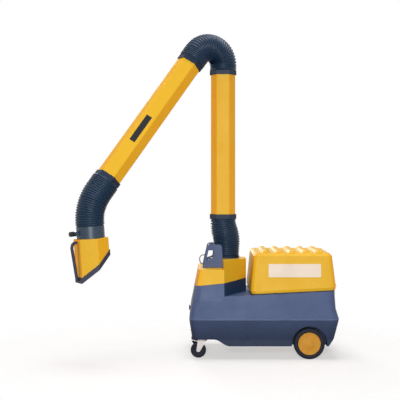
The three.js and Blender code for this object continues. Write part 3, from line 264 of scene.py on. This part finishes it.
def make_wall_shade():
    """Painted shade: a deep blue mask on the pedestal's walls behind its near corner, above the
    deck that climbs to the rear, where shade falls between the pedestal and the lid.
    """
    group, given, result = new_group(
        "pedestal_wall_shade", {"Corner": 0.145, "Deck": 0.505, "End": 0.345}, ["Mask"])
    axes = axes_of(group)
    past = worked(group, "SUBTRACT", axes["X"], given["Corner"])
    short = worked(group, "SUBTRACT", given["End"], axes["X"])
    deck = worked(group, "ADD", multiplied(group, past, DECK_SLOPE), given["Deck"])
    rise = worked(group, "SUBTRACT", axes["Z"], deck)
    span = multiplied(group, ranged(group, past, WALL_FADE), ranged(group, short, WALL_FADE))
    walls = multiplied(group, span, ranged(group, rise, (0.001, 0.006)))
    cloud = noise(group, scale=14.0, detail=4.0)
    mask = multiplied(group, walls, ranged(group, cloud, NOISE_SPAN, onto=(0.86, 0.96)))
    group.links.new(mask, result["Mask"])
    return group


GRAIN = make_grain()
HANDLING = make_handling()
RUB = make_rub()
# Painted shade and a painted highlight for the lower body, and painted shade for the pedestal's
# walls.
SKIRT_SHADING = make_skirt_shading()
WALL_SHADE = make_wall_shade()

# Finishes

SPECKLE_SHARE = 0.3
HANDLING_SHARE = 0.6
HANDLING_DULLS = 0.14
GRAIN_HEIGHT = 0.0006
# Painted shade: the deep blue laid on the pedestal's shaded walls.
WALL_SHADE_BLUE = (0.006, 0.026, 0.07)


def finish_of(name, colour, worn, rub_and_highlight, rough, grain, depth, metallic=0.0, specular=0.5,
              handling=5.0, rub=0.35, anisotropic=0.0, shade_below_crease=None):
    """A surface with its grain, its handling marks and its worn edges.

    The body's also darkens below the crease as painted shade, has a painted highlight along the
    crease, and takes painted shade in deep blue on the pedestal's walls.
    """
    material = bpy.data.materials.new(name)
    material.use_nodes = True
    tree = material.node_tree
    shader = tree.nodes["Principled BSDF"].inputs
    fine = placed(tree, GRAIN, Scale=grain)
    touched = placed(tree, HANDLING, Scale=handling)["Mask"]
    edges = placed(tree, RUB, Amount=rub)["Mask"]
    tint = blended(tree, multiplied(tree, fine["Speckle"], SPECKLE_SHARE), colour, worn)
    tint = blended(tree, multiplied(tree, touched, HANDLING_SHARE), tint, worn)
    # The body's painted shade below the crease, its painted highlight along the crease and the
    # painted shade on the pedestal's walls.
    if shade_below_crease:
        low = placed(tree, SKIRT_SHADING, Crease=CREASE)
        tint = blended(tree, low["Soil"], tint, shade_below_crease)
        tint = blended(tree, low["PaintedHighlight"], tint, rub_and_highlight)
        tint = blended(tree, placed(tree, WALL_SHADE)["Mask"], tint, WALL_SHADE_BLUE)
    tree.links.new(blended(tree, edges, tint, rub_and_highlight), shader["Base Color"])
    dulled = min(1.0, rough + HANDLING_DULLS)
    tree.links.new(ranged(tree, touched, UNIT, onto=(rough, dulled)), shader["Roughness"])
    bump = tree.nodes.new("ShaderNodeBump")
    bump.inputs["Strength"].default_value = depth
    bump.inputs["Distance"].default_value = GRAIN_HEIGHT
    tree.links.new(fine["Height"], bump.inputs["Height"])
    tree.links.new(bump.outputs["Normal"], shader["Normal"])
    shader["Metallic"].default_value = metallic
    shader["Specular IOR Level"].default_value = specular
    shader["Anisotropic"].default_value = anisotropic
    return material


FINISHES = {
    # The slate finish's last colour is painted shade for the body below the crease.
    "slate_plastic": finish_of(
        "slate_moulding", (0.062, 0.093, 0.195), (0.052, 0.079, 0.168), (0.15, 0.19, 0.31),
        rough=0.5, grain=1400, depth=0.18, specular=0.22, shade_below_crease=(0.011, 0.02, 0.046)),
    "yellow_plastic": finish_of(
        "yellow_moulding", (0.75, 0.43, 0.018), (0.69, 0.38, 0.016), (0.86, 0.54, 0.11),
        rough=0.5, grain=1600, depth=0.08, specular=0.2),
    "cap_plastic": finish_of(
        "wheel_cap_moulding", (0.60, 0.275, 0.022), (0.46, 0.2, 0.02), (0.7, 0.4, 0.1),
        rough=0.6, grain=260, depth=0.3, specular=0.3, handling=30.0),
    "yellow_tube": finish_of(
        "yellow_powder_coat", (0.75, 0.43, 0.018), (0.69, 0.38, 0.016), (0.86, 0.55, 0.12),
        rough=0.5, grain=700, depth=0.1, specular=0.2),
    "hose_rubber": finish_of(
        "navy_hose", (0.005, 0.021, 0.051), (0.008, 0.028, 0.062), (0.025, 0.052, 0.095),
        rough=0.38, grain=1100, depth=0.2, specular=0.32),
    "navy_plastic": finish_of(
        "navy_moulding", (0.007, 0.017, 0.04), (0.011, 0.023, 0.05), (0.04, 0.06, 0.1),
        rough=0.5, grain=1300, depth=0.22, specular=0.2),
    "collar_plastic": finish_of(
        "damper_collar_moulding", (0.014, 0.034, 0.062), (0.012, 0.028, 0.053), (0.06, 0.09, 0.13),
        rough=0.3, grain=1300, depth=0.15),
    "black_rubber": finish_of(
        "dark_rubber", (0.012, 0.014, 0.022), (0.02, 0.022, 0.03), (0.04, 0.042, 0.05),
        rough=0.6, grain=900, depth=0.4, specular=0.35),
    "tyre_rubber": finish_of(
        "wheel_rubber", (0.010, 0.013, 0.023), (0.02, 0.023, 0.032), (0.04, 0.043, 0.055),
        rough=0.68, grain=800, depth=0.5, specular=0.22, handling=12.0),
    "black_plastic": finish_of(
        "black_moulding", (0.010, 0.011, 0.014), (0.016, 0.017, 0.02), (0.05, 0.052, 0.06),
        rough=0.5, grain=1500, depth=0.22, specular=0.2),
    "lip_rubber": finish_of(
        "hood_lip_rubber", (0.022, 0.024, 0.05), (0.03, 0.032, 0.06), (0.06, 0.062, 0.1),
        rough=0.55, grain=900, depth=0.3, specular=0.35),
    "dark_rod": finish_of(
        "coated_rod", (0.014, 0.016, 0.025), (0.02, 0.024, 0.03), (0.12, 0.12, 0.13),
        rough=0.36, grain=900, depth=0.12, rub=0.5),
    "zinc": finish_of(
        "zinc_plate", (0.66, 0.61, 0.6), (0.56, 0.52, 0.5), (0.8, 0.77, 0.75),
        rough=0.34, grain=500, depth=0.1, metallic=0.7, anisotropic=0.25),
    "link_steel": finish_of(
        "plain_steel", (0.36, 0.37, 0.39), (0.27, 0.27, 0.28), (0.6, 0.6, 0.62),
        rough=0.36, grain=600, depth=0.15, metallic=0.9, anisotropic=0.3),
    "sheet_steel": finish_of(
        "galvanised_sheet", (0.48, 0.5, 0.52), (0.38, 0.4, 0.42), (0.66, 0.68, 0.7),
        rough=0.4, grain=60, depth=0.1, metallic=0.85),
    "motor_paint": finish_of(
        "motor_paint", (0.03, 0.045, 0.09), (0.025, 0.036, 0.07), (0.2, 0.22, 0.26),
        rough=0.42, grain=500, depth=0.3, specular=0.45),
    "filter_paper": finish_of(
        "pleated_paper", (0.72, 0.69, 0.58), (0.6, 0.57, 0.48), (0.8, 0.78, 0.7),
        rough=0.9, grain=400, depth=0.4, specular=0.2),
    "pale_panel": finish_of(
        "pale_panel", (0.74, 0.62, 0.5), (0.69, 0.57, 0.45), (0.8, 0.7, 0.6),
        rough=0.42, grain=900, depth=0.1, specular=0.4, rub=0.1),
}

# Modelling by hand

BEVEL_ANGLE = 28
EDGE_ANGLE = 40


def clear():
    """Nothing selected, object mode."""
    if bpy.context.object and bpy.context.object.mode != "OBJECT":
        bpy.ops.object.mode_set(mode="OBJECT")
    bpy.ops.object.select_all(action="DESELECT")


def take(piece):
    """Selects one piece alone and makes it active."""
    clear()
    piece.select_set(True)
    bpy.context.view_layer.objects.active = piece
    return piece


def named(name):
    """Names the piece just made, and its mesh."""
    piece = bpy.context.object
    piece.name = name
    piece.data.name = name
    return piece


def applied(piece, kind, **settings):
    """Adds a modifier, sets it and applies it."""
    take(piece)
    modifier = piece.modifiers.new(kind.lower(), kind)
    for label, value in settings.items():
        setattr(modifier, label, value)
    bpy.ops.object.modifier_apply(modifier=modifier.name)
    return piece


def smooth(piece, angle):
    """Shades a piece smooth but for its sharp edges."""
    take(piece)
    bpy.ops.object.shade_smooth_by_angle(angle=math.radians(angle))
    return piece


def rounded(piece, width, segments=3):
    """Rounds a piece's sharp edges, smooths what is left and keeps its broad faces flat."""
    applied(piece, "BEVEL", width=width, segments=segments, limit_method="ANGLE",
            angle_limit=math.radians(BEVEL_ANGLE), harden_normals=False)
    smooth(piece, EDGE_ANGLE)
    return applied(piece, "WEIGHTED_NORMAL", keep_sharp=True, weight=80)


def settle(piece):
    """Puts a piece's place into its mesh."""
    take(piece)
    bpy.ops.object.transform_apply(location=True, rotation=True, scale=True)
    return piece


def painted(piece, finish):
    """A piece takes one finish all over."""
    piece.data.materials.clear()
    piece.data.materials.append(FINISHES[finish])
    return piece


def dress(piece, node, finish=None):
    """A piece takes the place, the body and the finish of the solid that it stands for."""
    painted(piece, finish or slot_of[node])
    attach(piece, body_of[node])
    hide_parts(node)
    return piece


def bare_copy(node, name):
    """A solid's mesh taken over and cleaned, with nothing rounded yet."""
    take(nodes[node])
    bpy.ops.object.duplicate()
    piece = named(name)
    piece.parent = None
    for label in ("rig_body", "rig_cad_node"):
        if label in piece:
            del piece[label]
    bpy.ops.object.mode_set(mode="EDIT")
    bpy.ops.mesh.select_all(action="SELECT")
    bpy.ops.mesh.remove_doubles(threshold=0.00002)
    bpy.ops.mesh.dissolve_limited(angle_limit=math.radians(0.4))
    bpy.ops.object.mode_set(mode="OBJECT")
    return piece


def picked(piece, kind, wanted):
    """Leaves a piece in edit mode with only those edges or points selected that a test picks."""
    take(piece)
    bpy.ops.object.mode_set(mode="EDIT")
    bpy.ops.mesh.select_mode(type=kind)
    bpy.ops.mesh.select_all(action="DESELECT")
    bpy.ops.object.mode_set(mode="OBJECT")
    for part in piece.data.edges if kind == "EDGE" else piece.data.vertices:
        part.select = wanted(part)
    bpy.ops.object.mode_set(mode="EDIT")


def edges_rounded(piece, wanted, offset, segments):
    """Rounds the edges that a test picks by their two ends."""
    spots = piece.data.vertices
    picked(piece, "EDGE", lambda edge: wanted(*(spots[i].co for i in edge.vertices)))
    bpy.ops.mesh.bevel(offset=offset, segments=segments, affect="EDGES", clamp_overlap=True)
    bpy.ops.object.mode_set(mode="OBJECT")
    return piece


def turned(name, profile, sides, closed=True):
    """A round shape drawn up about Z from a circle, ring by ring: each is a radius and a height.

    A closed one has its first and last ring filled or merged.
    """
    clear()
    bpy.ops.mesh.primitive_circle_add(vertices=sides, radius=profile[0][0], location=(0, 0, 0))
    piece = named(name)
    bpy.ops.object.mode_set(mode="EDIT")
    bpy.ops.mesh.select_all(action="SELECT")
    bpy.ops.transform.translate(value=(0, 0, profile[0][1]))
    for (before, low), (after, high) in zip(profile, profile[1:]):
        bpy.ops.mesh.extrude_region_move(TRANSFORM_OT_translate={"value": (0, 0, high - low)})
        share = after / before
        bpy.ops.transform.resize(value=(share, share, 1), center_override=(0, 0, high))
    bpy.ops.mesh.select_all(action="SELECT")
    if closed:
        bpy.ops.mesh.remove_doubles(threshold=0.00001)
        bpy.ops.mesh.fill_holes(sides=0)
        bpy.ops.mesh.select_all(action="SELECT")
    bpy.ops.mesh.normals_make_consistent(inside=False)
    bpy.ops.object.mode_set(mode="OBJECT")
    return piece


def round_piece(name, profile, place, node, finish=None, sides=96, angle=32):
    """A turned piece laid in its place, for the solid that it stands for."""
    piece = turned(name, profile, sides)
    piece.matrix_world = place
    return dress(smooth(settle(piece), angle), node, finish)


# Hoses: a fold's outline as shares of its depth and of its pitch

FOLD = [(0, 0), (0.12, 0.12), (0.62, 0.24), (0.93, 0.36), (1, 0.5),
        (0.93, 0.64), (0.62, 0.76), (0.12, 0.88), (0, 1)]
FOLD_DEPTH = 0.0085
HOSE_SIDES = 64
HOSE_WALL = 0.0018
HOSE_ANGLE = 80
BELLY_REACH = 0.45
BELLY_CORE = 0.1


def plane_path(x, z, heading, stretches, count):
    """Points along arcs and straights of the arm's plane; a stretch is its length and its turn."""
    total = sum(length for length, _ in stretches)
    points = []
    for k in range(count + 1):
        left = total * k / count
        px, pz, h = x, z, heading
        for length, bend in stretches:
            run = min(left, length)
            if abs(bend) < 1e-9:
                px, pz = px + math.sin(h) * run, pz + math.cos(h) * run
            else:
                radius = length / bend
                after = h + run / radius
                px += radius * (math.cos(h) - math.cos(after))
                pz += radius * (math.sin(after) - math.sin(h))
                h = after
            left -= run
            if left <= 1e-12:
                break
        points.append(arm_point(px, pz))
    return points


def route_along(points):
    """A curve through points, to bend a hose along."""
    clear()
    bpy.ops.curve.primitive_bezier_curve_add(location=(0, 0, 0))
    route = bpy.context.object
    route.data.splines.clear()
    spline = route.data.splines.new("POLY")
    spline.points.add(len(points) - 1)
    for point, place in zip(spline.points, points):
        point.co = (*place, 1)
    route.data.twist_mode = "MINIMUM"
    return route


def bellied(piece, middle, reach, share):
    """Widens a straight hose about its middle, less and less towards its ends."""
    picked(piece, "VERT", lambda spot: abs(spot.co.z - middle) < reach * BELLY_CORE)
    bpy.ops.transform.resize(
        value=(share, share, 1), center_override=(0, 0, middle), use_proportional_edit=True,
        proportional_edit_falloff="SMOOTH", proportional_size=reach)
    bpy.ops.object.mode_set(mode="OBJECT")
    return piece


def hose(name, points, radius, ribs, node, belly=None):
    """A ribbed hose: one fold repeated, given its wall and bent along its path.
    """
    length = sum((b - a).length for a, b in zip(points, points[1:]))
    pitch = length / ribs
    fold = [(radius - FOLD_DEPTH * (1 - out), pitch * along) for out, along in FOLD]
    piece = turned(name, fold, HOSE_SIDES, closed=False)
    applied(piece, "ARRAY", count=ribs, use_relative_offset=False, use_constant_offset=True,
            constant_offset_displace=(0, 0, pitch), use_merge_vertices=True,
            merge_threshold=0.0001)
    if belly:
        bellied(piece, length / 2, length * BELLY_REACH, belly)
    applied(piece, "SOLIDIFY", thickness=HOSE_WALL, offset=-1)
    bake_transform(piece)
    route = route_along(points)
    applied(piece, "CURVE", object=route, deform_axis="POS_Z")
    bpy.data.objects.remove(route)
    smooth(piece, HOSE_ANGLE)
    painted(piece, "hose_rubber")
    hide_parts(node)
    return piece


# Paths of the hoses: straight lengths, bend radii and turns, from the arm's foot to its hood

HALF = 60
BASE_FOOT = 0.81
BASE_RISE = 0.301
BASE_STRAIGHT = 0.09
LOWER_X = 0.033
BASE_TURN = 2 * math.atan(LOWER_X / (BASE_RISE - BASE_STRAIGHT))
BASE_ARC = (BASE_RISE - BASE_STRAIGHT) / (2 * math.sin(BASE_TURN)) * BASE_TURN
ELBOW_FOOT = 2.366
ELBOW_RISE = 0.04
ELBOW_FALL = 0.043
ELBOW_TURN = math.radians(142.4)
JOINT_BEND = 0.152
ELBOW_BEND = JOINT_BEND - ELBOW_RISE / math.tan(ELBOW_TURN / 2)
TUBE = 1.165
TUBE_RUN = TUBE + 2 * CUFF
WRIST_START = 0.097
WRIST_END = 0.02
WRIST_BEND = 0.358
WRIST_TURN = math.radians(41.6)

base_path = plane_path(
    0, BASE_FOOT, 0, [(BASE_STRAIGHT, 0), (BASE_ARC, BASE_TURN), (BASE_ARC, -BASE_TURN)], HALF)
elbow_path = plane_path(
    LOWER_X, ELBOW_FOOT, 0,
    [(ELBOW_RISE, 0), (ELBOW_BEND * ELBOW_TURN, ELBOW_TURN), (ELBOW_FALL + ELBOW_RISE, 0)],
    2 * HALF)
elbow_end_x = (elbow_path[-1] - SLEW).dot(OUTWARD)
wrist_x = elbow_end_x + math.sin(ELBOW_TURN) * TUBE_RUN
wrist_z = elbow_path[-1].z + math.cos(ELBOW_TURN) * TUBE_RUN
wrist_path = plane_path(
    wrist_x, wrist_z, ELBOW_TURN,
    [(WRIST_START, 0), (WRIST_BEND * WRIST_TURN, WRIST_TURN), (WRIST_END, 0)], 2 * HALF)

hose("base_hose_ribbed", base_path, radius=0.1065, ribs=18,
     node="base_hose", belly=1.07)
hose("elbow_hose_rising", elbow_path[:HALF + 1], radius=0.1135, ribs=15,
     node="elbow_hose_lower")
hose("elbow_hose_falling", elbow_path[HALF:], radius=0.1135, ribs=15,
     node="elbow_hose_upper")
hose("wrist_hose_at_tube", wrist_path[:HALF + 1], radius=0.1155, ribs=12,
     node="wrist_hose_upper")
hose("wrist_hose_at_hood", wrist_path[HALF:], radius=0.1155, ribs=12,
     node="wrist_hose_lower")

# Tubes, with their long corners rolled

LONG_EDGE = 1.0

for node, name in (("lower_tube", "lower_tube_coated"), ("upper_tube", "upper_tube_coated")):
    tube = bare_copy(node, name)
    edges_rounded(tube, lambda a, b: (a - b).length > LONG_EDGE, offset=0.007, segments=5)
    dress(rounded(tube, width=0.0006, segments=2), node)

# Body, with its crease rolled round the waist

CREASE_REACH = 0.0006


def on_crease(a, b):
    """Both ends of an edge lie on the crease."""
    return all(abs(end.z - CREASE) < CREASE_REACH for end in (a, b))


moulding = bare_copy("body_housing", "body_moulding")
edges_rounded(moulding, on_crease, offset=0.003, segments=2)
dress(rounded(moulding, width=0.0028), "body_housing")

# Rigid pieces taken over from their solids: solid, piece, radius of its edges

OWN_FINISH = {"hood_lip": "lip_rubber", "hood_bail": "lip_rubber",
              "damper_housing": "collar_plastic"}

for node, name, width in (
        ("belly_pan", "belly_tray", 0.003),
        ("turret_cover", "turret_moulding", 0.0024),
        ("lid_shell", "lid_moulding", 0.0024),
        ("handle_plate_left", "handle_cheek_left", 0.0045),
        ("handle_plate_right", "handle_cheek_right", 0.0045),
        ("cable_hook", "cable_hook_rod", 0.0034),
        ("main_switch", "main_switch_knob", 0.0012),
        ("mains_inlet", "mains_inlet_socket", 0.0008),
        ("lower_cuff_foot", "lower_cuff_below", 0.0016),
        ("lower_cuff_head", "lower_cuff_above", 0.0016),
        ("upper_cuff_foot", "upper_cuff_at_elbow", 0.0016),
        ("upper_cuff_head", "upper_cuff_at_wrist", 0.0016),
        ("turntable", "turntable_ring", 0.0016),
        ("neck_fork", "hood_neck_frame", 0.001),
        ("damper_collar", "damper_housing", 0.0016),
        ("damper_knob", "damper_grip", 0.0028),
        ("hood_rim", "hood_lip", 0.0028),
        ("hood_handle", "hood_bail", 0.006),
        ("hood_shell", "hood_moulding", 0.0012),
        ("caster_plate_left", "caster_pad_left", 0.0012),
        ("caster_plate_right", "caster_pad_right", 0.0012),
        ("caster_fork_left", "caster_yoke_left", 0.0012),
        ("caster_fork_right", "caster_yoke_right", 0.0012),
        ("brake_pedal_left", "brake_lever_left", 0.0014),
        ("brake_pedal_right", "brake_lever_right", 0.0014),
        ("rear_rim_left", "wheel_rim_left", 0.0012),
        ("rear_rim_right", "wheel_rim_right", 0.0012)):
    dress(rounded(bare_copy(node, name), width), node, OWN_FINISH.get(name))

# Wheels: outlines as radius and distance from the wheel's middle plane

TYRE_SIDE = [
    (0.0922, 0.033), (0.0945, 0.0365), (0.098, 0.0386), (0.103, 0.039), (0.109, 0.0388),
    (0.1145, 0.0375), (0.119, 0.0348), (0.1222, 0.031), (0.1242, 0.026), (0.125, 0.0205),
    (0.1243, 0.0198), (0.1243, 0.0172), (0.125, 0.0165)]
CAP = [
    (0.0907, 0.0213), (0.0907, 0.0303), (0.0898, 0.0332), (0.0875, 0.0349), (0.0845, 0.0352),
    (0.0822, 0.0342), (0.081, 0.0322), (0.079, 0.0318), (0.055, 0.0329), (0.0335, 0.0337),
    (0.0318, 0.0345), (0.031, 0.0362), (0.029, 0.0372), (0.02, 0.0375), (0.006, 0.0376)]
ROLLER_SIDE = [
    (0.0064, 0.014), (0.013, 0.0138), (0.0145, 0.0118), (0.04, 0.0103), (0.0425, 0.0112),
    (0.0452, 0.0138), (0.0475, 0.0156), (0.0505, 0.016), (0.0565, 0.0158), (0.0592, 0.0145),
    (0.0612, 0.0122), (0.0625, 0.009)]
WHEEL_RADIUS = 0.125
WHEEL_OFFSET = 0.35
AXLE_X = 0.830157
CASTER_RADIUS = 0.0625
CASTER_OFFSET = 0.29
CASTER_HUB_X = -0.062843


def both_sides(half):
    """A wheel's closed outline from the half of it on one side."""
    return half + [(radius, -off) for radius, off in reversed(half)] + half[:1]


for hand, side in (("left", -1), ("right", 1)):
    lay = Matrix.Rotation(math.radians(-90 * side), 4, "X")
    hub = Matrix.Translation((AXLE_X, SLEW.y + side * WHEEL_OFFSET, WHEEL_RADIUS)) @ lay
    round_piece(f"tyre_{hand}", both_sides(TYRE_SIDE), hub, f"rear_tyre_{hand}", "tyre_rubber")
    round_piece(f"wheel_cap_{hand}", CAP, hub, f"hub_cap_{hand}", "cap_plastic")
    hub = Matrix.Translation((CASTER_HUB_X, SLEW.y + side * CASTER_OFFSET, CASTER_RADIUS)) @ lay
    round_piece(f"caster_roller_tyre_{hand}", both_sides(ROLLER_SIDE), hub,
                f"caster_wheel_{hand}", sides=72)

# Push grip: a sleeve with finger ridges

GRIP_END = [(0.0115, 0), (0.0128, 0.002)]
GRIP_ROOT = 0.0118
GRIP_MARGIN = 0.012
RIDGE = [(GRIP_ROOT, 0), (0.0129, 0.25), (0.013, 0.5), (0.0129, 0.75)]
RIDGES = 22

grip_low, grip_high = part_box("handle_grip")
grip_half = (grip_high.y - grip_low.y) / 2
pitch = 2 * (grip_half - GRIP_MARGIN) / RIDGES
grip_profile = [(radius, inset - grip_half) for radius, inset in GRIP_END]
for k in range(RIDGES):
    start = GRIP_MARGIN - grip_half + pitch * k
    grip_profile += [(radius, start + pitch * share) for radius, share in RIDGE]
grip_profile.append((GRIP_ROOT, grip_half - GRIP_MARGIN))
grip_profile += [(radius, grip_half - inset) for radius, inset in reversed(GRIP_END)]
grip_place = (Matrix.Translation((grip_low + grip_high) / 2)
              @ Matrix.Rotation(math.radians(90), 4, "X"))
round_piece("push_grip_sleeve", grip_profile, grip_place, "handle_grip", sides=40, angle=60)

# Bare plates: a dark strip on the upper tube and a pale panel on the lid

CORNER_SHARE = 0.08
EDGE_SHARE = 0.4
LIFT = 0.02
GLUE = 0.0004
STRIP_SIZE = (0.252, 0.05, 0.0005)
STRIP_ALONG = 0.71
PANEL_SIZE = (0.422, 0.107, 0.0012)
PANEL_X = 0.714
PANEL_Z = 0.712


def facing_plane(node, least_area):
    """The solid's face that looks most to the near side: a point of it and its normal."""
    faces = [face for face in nodes[node].data.polygons if face.area > least_area]
    best = min(faces, key=lambda face: face.normal.y)
    return best.center.copy(), best.normal.copy()


def plate(name, size, along, normal, middle, finish, body, carrier):
    """A thin plate with round corners, laid on what carries it."""
    width, height, thick = size
    clear()
    bpy.ops.mesh.primitive_plane_add(size=1, location=(0, 0, 0))
    piece = named(name)
    piece.scale = (width, height, 1)
    settle(piece)
    bpy.ops.object.mode_set(mode="EDIT")
    bpy.ops.mesh.select_all(action="SELECT")
    bpy.ops.mesh.bevel(offset=min(width, height) * CORNER_SHARE, segments=6, affect="VERTICES")
    bpy.ops.object.mode_set(mode="OBJECT")
    up = normal.cross(along).normalized()
    turn = Matrix((along, up, normal)).transposed().to_4x4()
    piece.matrix_world = Matrix.Translation(middle + normal * LIFT) @ turn
    settle(piece)
    applied(piece, "SHRINKWRAP", target=bpy.data.objects[carrier], wrap_method="PROJECT",
            use_negative_direction=True, use_positive_direction=True, offset=GLUE)
    applied(piece, "SOLIDIFY", thickness=thick, offset=1)
    rounded(piece, thick * EDGE_SHARE, segments=2)
    painted(piece, finish)
    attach(piece, body)
    return piece


tube_spot, tube_normal = facing_plane("upper_tube", least_area=0.02)
tube_along = (wrist_path[0] - elbow_path[-1]).normalized()
strip_spot = elbow_path[-1] + tube_along * (CUFF + STRIP_ALONG)
strip_spot += tube_normal * (tube_spot - strip_spot).dot(tube_normal)
strip = plate("tube_strip", STRIP_SIZE, tube_along, tube_normal, strip_spot,
              "black_plastic", "upper_arm", "upper_tube_coated")
lid_spot, lid_normal = facing_plane("lid_shell", least_area=0.005)
panel_spot = Vector((PANEL_X, lid_spot.y, PANEL_Z))
panel_spot.y += (lid_spot - panel_spot).dot(lid_normal) / lid_normal.y
panel_along = (Vector((1, 0, 0)) - lid_normal * lid_normal.x).normalized()
plate("lid_panel", PANEL_SIZE, panel_along, lid_normal, panel_spot,
      "pale_panel", "lid", "lid_moulding")

# Solids that stay, with the finish of their slots

for node, solid in nodes.items():
    for place in solid.material_slots:
        place.material = FINISHES["navy_plastic" if node == "intake_duct" else slot_of[node]]

# Floor: white to the camera, dull to the light, and clear further out

FLOOR_SIZE = (40, 24, 1)
FLOOR_GLOW = 0.5
FLOOR_FADE = (1.1, 2.4)

clear()
bpy.ops.mesh.primitive_plane_add(size=1, location=(0, 0, 0))
floor = bpy.context.object
floor.name = "studio_floor"
bpy.ops.object.mode_set(mode="EDIT")
bpy.ops.mesh.select_all(action="SELECT")
bpy.ops.transform.resize(value=FLOOR_SIZE)
bpy.ops.object.mode_set(mode="OBJECT")
floor_paper = bpy.data.materials.new("pale_floor")
floor_paper.use_nodes = True
paper = floor_paper.node_tree
sheet = paper.nodes["Principled BSDF"]
sheet_tint = ranged(paper, noise(paper, scale=3.0, detail=3.0), NOISE_SPAN)
paper.links.new(blended(paper, sheet_tint, (0.93, 0.93, 0.935), (0.9, 0.9, 0.905)),
                sheet.inputs["Base Color"])
sheet.inputs["Roughness"].default_value = 0.9
sheet.inputs["Specular IOR Level"].default_value = 0.1
glow = new_shader(paper, "ShaderNodeEmission")
dull = new_shader(paper, "ShaderNodeBsdfDiffuse", Color=(0.3, 0.3, 0.31))
gone = new_shader(paper, "ShaderNodeBsdfTransparent")
rays = paper.nodes.new("ShaderNodeLightPath").outputs
look = mixed(paper, rays["Is Camera Ray"], dull, mixed(paper, FLOOR_GLOW, sheet.outputs[0], glow))
reach = paper.nodes.new("ShaderNodeVectorMath")
reach.operation = "LENGTH"
paper.links.new(object_place(paper), reach.inputs[0])
faded = mixed(paper, ranged(paper, reach.outputs["Value"], FLOOR_FADE), look, gone)
paper.links.new(faded, paper.nodes["Material Output"].inputs["Surface"])
floor.data.materials.append(floor_paper)

# World: weak light, but white where the camera or a reflection sees it

WORLD_LIGHT = 0.12
WHITE = (1, 1, 1)
WARM = (1.0, 0.4, 0.15)

world = bpy.data.worlds.new("studio")
bpy.context.scene.world = world
world.use_nodes = True
sky = world.node_tree
lit = sky.nodes["Background"]
lit.inputs["Color"].default_value = (*WHITE, 1)
lit.inputs["Strength"].default_value = WORLD_LIGHT
seen = new_shader(sky, "ShaderNodeBackground", Color=WHITE, Strength=1.0)
rays = sky.nodes.new("ShaderNodeLightPath").outputs
direct = worked(sky, "MAXIMUM", rays["Is Camera Ray"], rays["Is Glossy Ray"])
sky.links.new(mixed(sky, direct, lit.outputs[0], seen),
              sky.nodes["World Output"].inputs["Surface"])

# Lamps and camera


def linked(name, data, place):
    """An object of the scene made from its data and put in its place."""
    holder = bpy.data.objects.new(name, data)
    bpy.context.scene.collection.objects.link(holder)
    holder.location = place
    return holder


def soft_light(name, place, aim, size, power, colour=WHITE):
    """A broad studio lamp turned to a point."""
    lamp = bpy.data.lights.new(name, "AREA")
    lamp.energy = power
    lamp.color = colour
    lamp.size = size
    holder = linked(name, lamp, place)
    holder.rotation_euler = (Vector(aim) - Vector(place)).to_track_quat("-Z", "Y").to_euler()
    return holder


soft_light("key_lamp", (0.0, -7.6, 2.1), (0.05, 0, 1.0), size=1.6, power=470)
soft_light("top_lamp", (0.2, 0.2, 9.0), (0.2, 0.2, 0), size=4.5, power=480)
for hand, side, power in (("left", -1, 230), ("right", 1, 170)):
    warm_lamp = soft_light(f"{hand}_warm_lamp", (side * 7.5, -0.3, 0.75), (0, 0, 1.2),
                           size=1.2, power=power, colour=WARM)
    warm_lamp.visible_glossy = False
soft_light("back_lamp", (-1.6, 7.5, 3.6), (0.1, 0, 1.0), size=2.4, power=240)

eye = bpy.data.cameras.new("photo_camera")
eye.lens = 89.8
eye.sensor_width = 36
eye.shift_x = -0.0012
eye.shift_y = -0.0555
photo_camera = linked("photo_camera", eye, (-0.0458, -8.2545, 1.460))
photo_camera.rotation_euler = (math.radians(90), 0, 0)
bpy.context.scene.camera = photo_camera
bpy.context.scene.view_settings.view_transform = "Standard"
